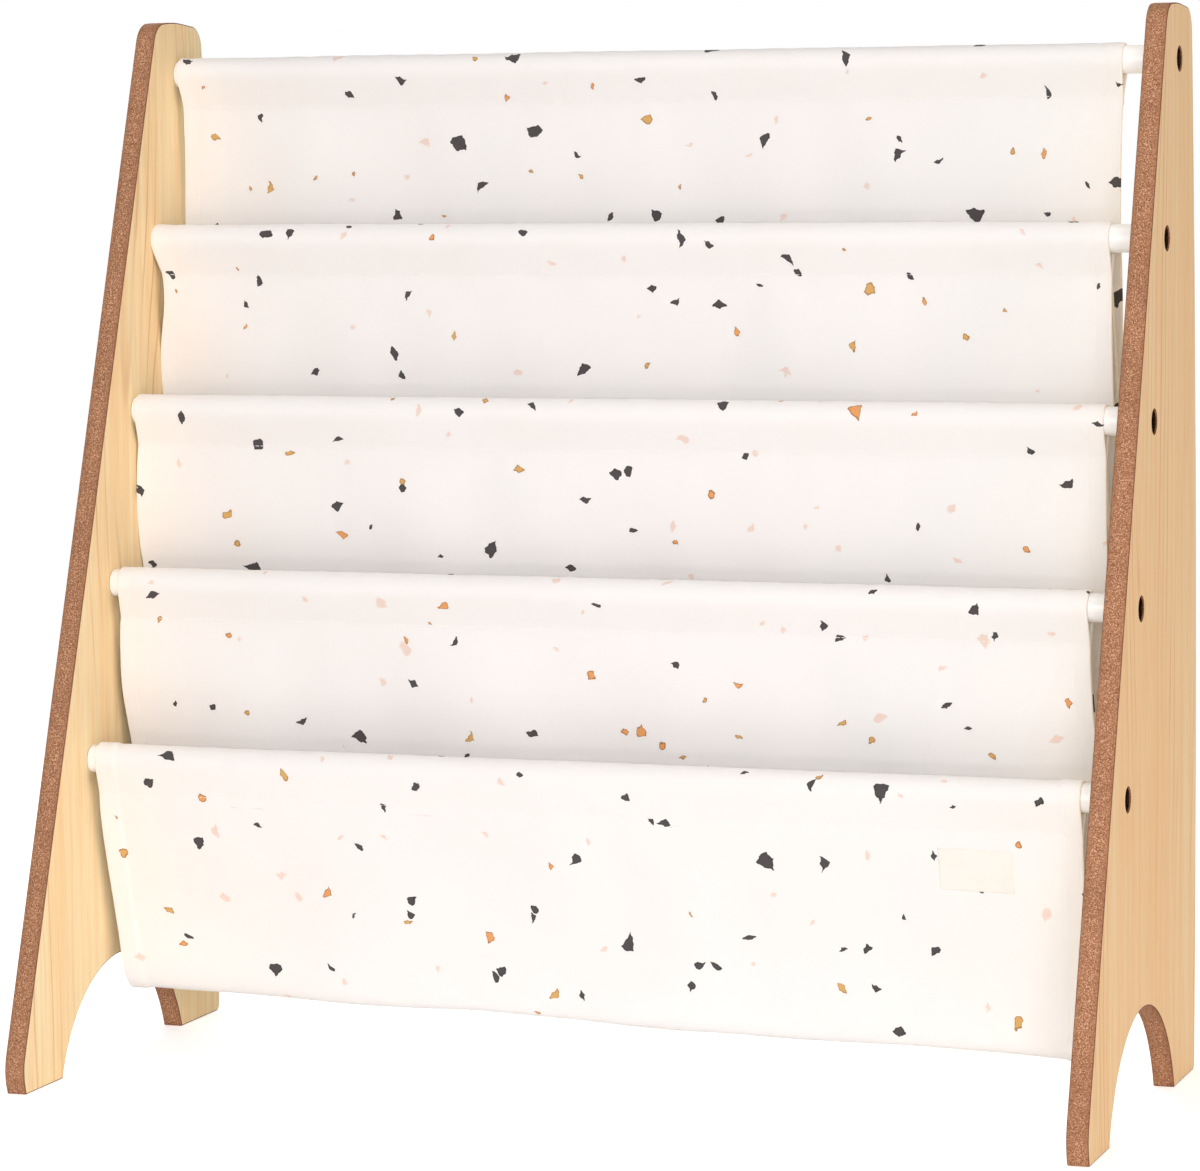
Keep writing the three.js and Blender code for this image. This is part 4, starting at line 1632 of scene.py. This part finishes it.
    @staticmethod
    def _smooth(values: Array, sigma: int) -> Array:
        """Values along a line, each replaced by a bell-shaped average of its neighbours.

        Args:
            values: One number or one point for each place.
            sigma: Width of the bell, in places.

        Returns:
            As many smooth values.
        """
        reach = 3 * sigma
        bell = np.exp(-0.5 * (np.arange(-reach, reach + 1) / sigma) ** 2)
        bell /= bell.sum()
        flat = values.reshape(len(values), -1)
        padded = np.concatenate([np.repeat(flat[:1], reach, 0), flat, np.repeat(flat[-1:], reach, 0)])
        smooth = np.stack([np.convolve(padded[:, k], bell, "valid") for k in range(flat.shape[1])], -1)
        return smooth.reshape(values.shape)

    def _edges(self, index: Array, front: Array, drop: Array, last: int) -> tuple[Array, Array]:
        """The X of both edges along the line.

        A back wall and a sleeve follow their own row. A front wall goes over to the next row.

        Args:
            index: The row that each place belongs to.
            front: Whether it is on a front wall.
            drop: Its drop below its rod.
            last: Number of the last row.

        Returns:
            The left edge and the right edge.
        """
        pitch = self.rods[0].z - self.rods[1].z
        edges = []
        for side in ("left", "right"):
            own = np.zeros(len(index))
            following = np.zeros(len(index))
            for row, hang in enumerate(HANGS):
                table = np.array(getattr(hang, side)) * MM
                here = index == row
                own[here] = np.interp(drop[here], table[:, 0], table[:, 1])
                before = index == row - 1
                following[before] = np.interp(drop[before] - pitch, table[:, 0], table[:, 1])
            edges.append(self._smooth(np.where(front & (index < last), following, own), self.edge_smoothing))
        return edges[0], edges[1]

    def _columns(self) -> Array:
        """Shares across the sheet, closer together in the hems.

        Returns:
            Growing shares, 0 at the left edge and 1 at the right.
        """
        hem = self.hem_width / self.nominal_width
        start = hem * self.inner_columns_start
        inner = np.linspace(start, 1 - start, self.columns - 2 * len(self.hem_columns))
        edge = np.array(self.hem_columns) * hem
        return np.concatenate([edge, inner, 1 - edge[::-1]])

    def hem(self) -> Array:
        """How much thicker the sheet is at each column: the hem's second layer."""
        from_edge = np.minimum(self.u, 1 - self.u) * self.nominal_width
        return self.hem_extra * np.clip((self.hem_width - from_edge) / self.hem_step + 0.5, 0, 1)

    def surface(self) -> Surface:
        """The sheet as a closed shell.

        Its section across the width is a closed ring: the outer layer from left to right, a
        rounded right edge, the inner layer back and a rounded left edge. The ring is carried
        along the rows.

        Returns:
            The surface.
        """
        half = self.thickness / 2
        outer = self.centre + self.normal * half
        inner = self.centre - self.normal * (half + self.hem())[None, :, None]
        turns = np.linspace(0, math.pi, self.rim_steps + 1)[1:-1]

        def rim(column: int, way: int) -> Array:
            """A half circle from one layer to the other, which rounds an edge of the sheet.

            Args:
                column: The edge's column.
                way: 1 at the right edge and -1 at the left.

            Returns:
                The points between the layers, row by row.
            """
            a, b = outer[:, column], inner[:, column]
            middle, spread = (a + b) / 2, (a - b) / 2
            out = np.array([way, 0, 0]) * np.linalg.norm(spread, axis=-1, keepdims=True)
            return np.stack([middle + spread * math.cos(t) + out * math.sin(t) for t in turns[::way]], 1)

        rim_cuts = [np.repeat(self.cut[:, [column]], len(turns), 1) for column in (-1, 0)]
        ring = np.concatenate([outer, rim(-1, 1), inner[:, ::-1], rim(0, -1)], 1)
        cut = np.concatenate([self.cut, rim_cuts[0], self.cut[:, ::-1], rim_cuts[1]], 1)
        points = ring.reshape(-1, 3)
        return Surface(points, outward(points, capped_tube(*ring.shape[:2])), uv=cut.reshape(-1, 2))

    def at(self, x: Array, s: Array, face: int, lift: float | Array) -> tuple[Array, Array, Array]:
        """Points on one face of the sheet, with the normal there and the direction across.

        Args:
            x: Places along X.
            s: Distances along the sling's line.
            face: 1 for the face that lies outside over the rods, and -1 for the other, which
                the hems thicken.
            lift: Height above that face.

        Returns:
            Points, normals that point away from the face, and unit directions along X.
        """
        path = self.path_line
        row = np.interp(s, path.length, np.arange(len(path.length)))
        left, right = np.interp(s, path.length, path.left), np.interp(s, path.length, path.right)
        column = np.interp((x - left) / (right - left), self.u, np.arange(len(self.u)))
        i = np.clip(row.astype(int), 0, self.centre.shape[0] - 2)
        j = np.clip(column.astype(int), 0, self.centre.shape[1] - 2)
        f, g = (row - i)[:, None], (column - j)[:, None]

        def blend(values: Array) -> Array:
            """Values between the four grid points round each place."""
            near, far = (values[k, j] * (1 - g) + values[k, j + 1] * g for k in (i, i + 1))
            return near * (1 - f) + far * f

        normal = face * blend(self.normal)
        normal /= np.linalg.norm(normal, axis=-1)[:, None]
        side = self.centre[i, j + 1] - self.centre[i, j]
        side /= np.linalg.norm(side, axis=-1)[:, None]
        extra = 0 if face > 0 else np.interp(column, np.arange(len(self.u)), self.hem())
        height = self.thickness / 2 + extra + lift
        return blend(self.centre) + normal * np.reshape(height, (-1, 1)), normal, side

    def build(self, wardrobe: Wardrobe) -> Object:
        """Builds the sling as one piece.

        Args:
            wardrobe: The finishes.

        Returns:
            The piece.
        """
        replaces = [f"sling_sleeve_{i + 1}" for i in range(len(self.rods))]
        replaces += [f"sling_pocket_{i + 1}" for i in range(len(self.rods) - 1)]
        return self.surface().piece("sling", [wardrobe.cloth], Slot.CLOTH, replaces)


@dataclass
class Thread:
    """White thread: the row of stitches under each rod, on both sides, and along both hems.

    A stitch has a ring of points at each of places, shares of its length, and each ring's radius
    is thinned by its own share in tapers.
    """

    sling: Sling
    pitch: float = 3.2 * MM
    length: float = 2.5 * MM
    radius: float = 0.2 * MM
    places: tuple[float, ...] = (-0.5, -0.3, 0.3, 0.5)
    tapers: tuple[float, ...] = (0.35, 1, 1, 0.35)
    sides: int = 5
    lift: float = 0.02 * MM
    margin: float = 3 * MM
    hem_inset: float = 8.6 * MM

    def stitches(self, centres: Array, along: Array, normal: Array) -> tuple[Array, Faces]:
        """Short rounded stitches, each half sunk into the cloth.

        A stitch is rings round its own line, and a flat face closes each end.

        Args:
            centres: Middle of each stitch, on the cloth.
            along: Unit direction of each stitch.
            normal: Unit direction out of the cloth at each stitch.

        Returns:
            All points, and all faces.
        """
        rings = len(self.places)
        side = np.cross(normal, along)
        angle = np.tile(np.arange(self.sides) * 2 * math.pi / self.sides, rings)
        place = np.repeat(self.places, self.sides) * self.length
        radius = np.repeat(self.tapers, self.sides) * self.radius
        across, up = radius * np.cos(angle), radius * np.sin(angle)
        points = centres[:, None] + place[:, None] * along[:, None] + across[:, None] * side[:, None]
        points = points + up[:, None] * normal[:, None]
        quads = grid_faces(rings, self.sides, wrap_columns=True)
        caps = np.array([np.arange(self.sides)[::-1], np.arange(self.sides) + (rings - 1) * self.sides])
        first = np.arange(len(centres))[:, None, None] * rings * self.sides
        faces = (first + quads).reshape(-1, 4).tolist() + (first + caps).reshape(-1, self.sides).tolist()
        return points.reshape(-1, 3), faces

    def seam_rows(self) -> list[tuple[Array, Faces]]:
        """The stitches across the sling at each seam, on the side that shows.

        Returns:
            Points and faces of each row.
        """
        rows = []
        path = self.sling.path_line
        for number, s in enumerate(path.seams):
            face = -1 if number >= len(path.seams) - 2 else 1
            left, right = np.interp(s, path.length, path.left), np.interp(s, path.length, path.right)
            x = np.arange(left + self.margin, right - self.margin, self.pitch)
            point, normal, across = self.sling.at(x, np.full(len(x), s), face, self.lift)
            rows.append(self.stitches(point, across, normal))
        return rows

    def hem_rows(self) -> list[tuple[Array, Faces]]:
        """The stitches along both hems, on both faces.

        Returns:
            Points and faces of each row.
        """
        rows = []
        path = self.sling.path_line
        s = np.arange(self.margin, path.length[-1] - self.margin, self.pitch)
        for edge, inward in ((path.left, 1), (path.right, -1)):
            x = np.interp(s, path.length, edge) + inward * self.hem_inset
            for face in (1, -1):
                point, normal, across = self.sling.at(x, s, face, self.lift)
                rows.append(self.stitches(point, np.cross(across, normal), normal))
        return rows

    def build(self, wardrobe: Wardrobe) -> list[Object]:
        """Builds the seam thread and the hem thread.

        Args:
            wardrobe: The finishes.

        Returns:
            The two pieces.
        """
        return [self.sewn(name, rows, wardrobe, Slot.CLOTH)
                for name, rows in (("seam_thread", self.seam_rows()), ("hem_thread", self.hem_rows()))]

    @staticmethod
    def sewn(name: str, rows: list[tuple[Array, Faces]], wardrobe: Wardrobe, slot: Slot) -> Object:
        """Makes rows of stitches one piece.

        Args:
            name: The piece's name.
            rows: Points and faces of each row.
            wardrobe: The finishes.
            slot: The slot of the cloth that they are sewn on.

        Returns:
            The piece.
        """
        points, faces = joined(rows)
        surface = Surface(points, outward(points, faces), uv=points[:, [0, 2]])
        return surface.piece(name, [wardrobe.thread], slot, [])


@dataclass
class Label:
    """A small bare tape label, sewn on the front of the lowest pocket."""

    sling: Sling
    width: float = 42 * MM
    height: float = 24 * MM
    thickness: float = 0.45 * MM
    columns: int = 60
    rows: int = 36
    rim_round: float = 0.5 * MM
    front_lift: float = 0.02 * MM
    back_lift: float = 0.01 * MM
    inset: float = 1.6 * MM
    dip_width: float = 0.35 * MM
    dip_share: float = 0.4
    pitch: float = 2.3 * MM
    stitch_length: float = 1.7 * MM
    stitch_radius: float = 0.13 * MM
    stitch_height: float = 0.6

    def middle(self) -> tuple[float, float]:
        """Where the label's middle lies, at the height of the frame's label on the lowest front wall.

        Returns:
            Its X, and its distance along the sling's line.
        """
        low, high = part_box("sling_label")
        path = self.sling.path_line
        back_seam, front_seam = path.seams[-3], path.seams[-2]
        front = (path.length > (back_seam + front_seam) / 2) & (path.length < front_seam)
        return (low.x + high.x) / 2, float(np.interp((low.z + high.z) / 2, path.z[front], path.length[front]))

    def patch(self) -> tuple[Array, Array]:
        """The label's surface, which follows the cloth.

        It is a closed ring of columns: the front layer, whose height over the cloth falls off in
        a quarter circle at the rim and dips along the stitches, and the back layer just on the
        cloth.

        Returns:
            The points as a grid, and the flat cut's coordinates.
        """
        centre_x, middle = self.middle()
        u, v = np.linspace(0, 1, self.columns), np.linspace(0, 1, self.rows)
        across, up = np.meshgrid((u - 0.5) * self.width, (v - 0.5) * self.height)
        rim = np.minimum(self.width / 2 - np.abs(across), self.height / 2 - np.abs(up))
        ease = np.clip(rim / self.rim_round, 0, 1)
        dip = np.exp(-((rim - self.inset) / self.dip_width) ** 2)
        lift = self.thickness * (np.sqrt(1 - (1 - ease) ** 2) - self.dip_share * dip)
        x, s = (centre_x + across).ravel(), (middle + up).ravel()
        front = self.sling.at(x, s, -1, lift.ravel() + self.front_lift)[0].reshape(*up.shape, 3)
        back = self.sling.at(x, s, -1, self.back_lift)[0].reshape(*up.shape, 3)
        cut = np.stack([across, up], -1)
        return np.concatenate([front, back[:, ::-1]], 1), np.concatenate([cut, cut[:, ::-1]], 1)

    def build(self, wardrobe: Wardrobe) -> list[Object]:
        """Builds the label and its stitches.

        Args:
            wardrobe: The finishes.

        Returns:
            The label and its thread.
        """
        ring, cut = self.patch()
        points = ring.reshape(-1, 3)
        surface = Surface(points, outward(points, capped_tube(*ring.shape[:2])), uv=cut.reshape(-1, 2))
        label = surface.piece("tape_label", [wardrobe.label], Slot.LABEL, ["sling_label"])
        return [label, self.thread(wardrobe)]

    def thread(self, wardrobe: Wardrobe) -> Object:
        """Builds the stitches that run round the label just inside its rim.

        Args:
            wardrobe: The finishes.

        Returns:
            The piece.
        """
        thread = Thread(self.sling, length=self.stitch_length, radius=self.stitch_radius)
        half_width, half_height = self.width / 2 - self.inset, self.height / 2 - self.inset
        along = np.arange(-half_width + self.pitch / 2, half_width, self.pitch)
        up = np.arange(-half_height + self.pitch / 2, half_height, self.pitch)
        runs = [(along, np.full(len(along), level), True) for level in (half_height, -half_height)]
        runs += [(np.full(len(up), place), up, False) for place in (half_width, -half_width)]
        centre_x, middle = self.middle()
        rows = []
        for x, s, level in runs:
            lift = self.thickness * self.stitch_height
            place, normal, across = self.sling.at(centre_x + x, middle + s, -1, lift)
            rows.append(thread.stitches(place, across if level else np.cross(across, normal), normal))
        return thread.sewn("label_thread", rows, wardrobe, Slot.LABEL)


# Stage, camera and light


@dataclass
class Stage:
    """A pale floor that fades into a white surround."""

    radius: float = 1.9
    middle_radius: float = 20 * MM
    rings: int = 10
    spokes: int = 96
    floor: Colour = srgb(250, 250, 250)
    fade_start: float = 0.75
    fade_end: float = 0.97
    glow: float = 0.5

    def build(self) -> Object:
        """Builds the floor as a disc and its material.

        Returns:
            The floor.
        """
        ring = np.linspace(self.middle_radius, self.radius, self.rings)[:, None]
        angle = np.arange(self.spokes) * 2 * math.pi / self.spokes
        flat = np.zeros((self.rings, self.spokes))
        points = np.stack([ring * np.cos(angle), ring * np.sin(angle), flat], -1).reshape(-1, 3)
        faces = grid_faces(self.rings, self.spokes, wrap_columns=True).tolist() + [list(range(self.spokes))]
        mesh = bpy.data.meshes.new("floor")
        mesh.from_pydata(points.tolist(), [], faces)
        mesh.materials.append(self.material())
        floor = bpy.data.objects.new("floor", mesh)
        bpy.context.scene.collection.objects.link(floor)
        return floor

    def material(self) -> Material:
        """Matt and pale, lifted towards white as it is seen, and clear towards the rim.

        Returns:
            The floor's material.
        """
        material = bpy.data.materials.new("floor")
        sheet = Nodes.of(material)
        from_middle = sheet.vector("LENGTH", sheet.node("TexCoord").outputs["Object"])
        edge = sheet.remap(from_middle, self.fade_start, self.radius * self.fade_end)
        matt = sheet.node("BsdfDiffuse", {"Color": self.floor})
        strength = sheet.times(sheet.seen_straight(), self.glow)
        lamp = sheet.node("Emission", {"Color": WHITE, "Strength": strength})
        lit = sheet.node("AddShader", {0: matt.outputs[0], 1: lamp.outputs[0]})
        clear = sheet.node("BsdfTransparent")
        mixed = sheet.node("MixShader", {0: edge, 1: lit.outputs[0], 2: clear.outputs[0]})
        sheet.node("OutputMaterial", {0: mixed.outputs[0]})
        return material


@dataclass(frozen=True)
class Lamp:
    """One area lamp: where it stands, what it points at, its width and height, watts and tint."""

    name: str
    place: Triple
    target: Triple
    size: tuple[float, float]
    power: float
    tint: Triple = (0.97, 0.985, 1.0)

    def build(self) -> Object:
        """Adds the lamp, which the camera doesn't see.

        Returns:
            The lamp.
        """
        data = bpy.data.lights.new(self.name, "AREA")
        data.shape = "RECTANGLE"
        data.size, data.size_y = self.size
        data.energy = self.power
        data.color = self.tint
        made = bpy.data.objects.new(self.name, data)
        made.location = self.place
        made.visible_camera = False
        made.rotation_euler = (Vector(self.target) - Vector(self.place)).to_track_quat("-Z", "Y").to_euler()
        bpy.context.scene.collection.objects.link(made)
        return made


@dataclass
class Lighting:
    """Soft studio light.

    An even warm surround, a broad key in front with a weak fill beneath it, an amber lamp at the
    right end, a strong lamp behind and a weak one above.
    """

    surround: float = 0.28
    sky: Colour = (1.0, 0.92, 0.83, 1.0)
    lamps: tuple[Lamp, ...] = (
        Lamp("key", (0.5, -2.25, 0.68), (0, 0, 0.3), (1.8, 0.5), 30.5),
        Lamp("low", (0.75, -1.95, 0.1), (0, 0, 0.35), (1.8, 0.2), 4),
        Lamp("side", (2.0, -0.4, 0.25), (0.3, 0, 0.22), (1.1, 0.6), 7.5, tint=(1.0, 0.52, 0.3)),
        Lamp("back", (-1.2, 2.2, 1.2), (0, 0, 0.4), (1.8, 1.0), 38),
        Lamp("top", (0, -0.25, 1.9), (0, 0, 0.1), (1.8, 0.7), 7),
    )

    def surroundings(self) -> None:
        """Makes the world: white to the camera and in reflections, and softer as light."""
        world = bpy.data.worlds.new("surround")
        bpy.context.scene.world = world
        sheet = Nodes.of(world)
        shown = sheet.seen_straight()
        strength = sheet.line(shown, 1.0 - self.surround, self.surround)
        back = sheet.node("Background", {"Color": sheet.mix(shown, self.sky, WHITE), "Strength": strength})
        sheet.node("OutputWorld", {0: back.outputs[0]})

    def build(self) -> None:
        """Makes the world and the lamps, and sets the plain view transform."""
        self.surroundings()
        for lamp in self.lamps:
            lamp.build()
        bpy.context.scene.view_settings.view_transform = "Standard"


@dataclass
class PhotoCamera:
    """The camera at the photograph's viewing angle.

    It looks along yaw and pitch, rolled a little, with its axis at row axis_row of the frame.
    """

    place: Triple = (834.21 * MM, -2372.08 * MM, 523.62 * MM)
    yaw: float = math.radians(19.39)
    pitch: float = math.radians(-3.698)
    roll: float = math.radians(-0.49)
    focal_pixels: float = 4447.5
    frame_width: float = 1200
    frame_height: float = 1171
    axis_row: float = 450
    sensor: float = 36
    nearest: float = 0.05
    farthest: float = 50

    def build(self) -> Object:
        """Adds the camera and makes it the scene's own.

        Returns:
            The camera.
        """
        flat, rise = math.cos(self.pitch), math.sin(self.pitch)
        ahead = Vector((-math.sin(self.yaw) * flat, math.cos(self.yaw) * flat, rise))
        level = ahead.cross(Vector((0, 0, 1))).normalized()
        over = level.cross(ahead)
        right = math.cos(self.roll) * level + math.sin(self.roll) * over
        up = -math.sin(self.roll) * level + math.cos(self.roll) * over
        data = bpy.data.cameras.new("photo_camera")
        data.sensor_width = self.sensor
        data.lens = self.focal_pixels * self.sensor / self.frame_width
        data.shift_y = (self.axis_row - self.frame_height / 2) / self.frame_width
        data.clip_start, data.clip_end = self.nearest, self.farthest
        camera = bpy.data.objects.new("photo_camera", data)
        camera.matrix_world = Matrix((
            (right.x, up.x, -ahead.x, self.place[0]), (right.y, up.y, -ahead.y, self.place[1]),
            (right.z, up.z, -ahead.z, self.place[2]), (0, 0, 0, 1)))
        bpy.context.scene.collection.objects.link(camera)
        bpy.context.scene.camera = camera
        return camera


def main() -> None:
    """Builds the shelf, the stage, the light and the camera."""
    logging.basicConfig(level=logging.INFO, format="%(message)s", stream=sys.stdout)
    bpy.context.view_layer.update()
    PhotoCamera().build()
    wardrobe = Wardrobe()
    rods = [Axis.of(number) for number in range(1, ROD_COUNT + 1)]
    for side in Side:
        SidePanel(side, rods).build(wardrobe)
    RodSet(rods).build(wardrobe)
    sling = Sling(rods)
    cloth = sling.build(wardrobe)
    sewn_on = Thread(sling).build(wardrobe) + Label(sling).build(wardrobe)
    Stage().build()
    Lighting().build()


if __name__ == "__main__":
    main()
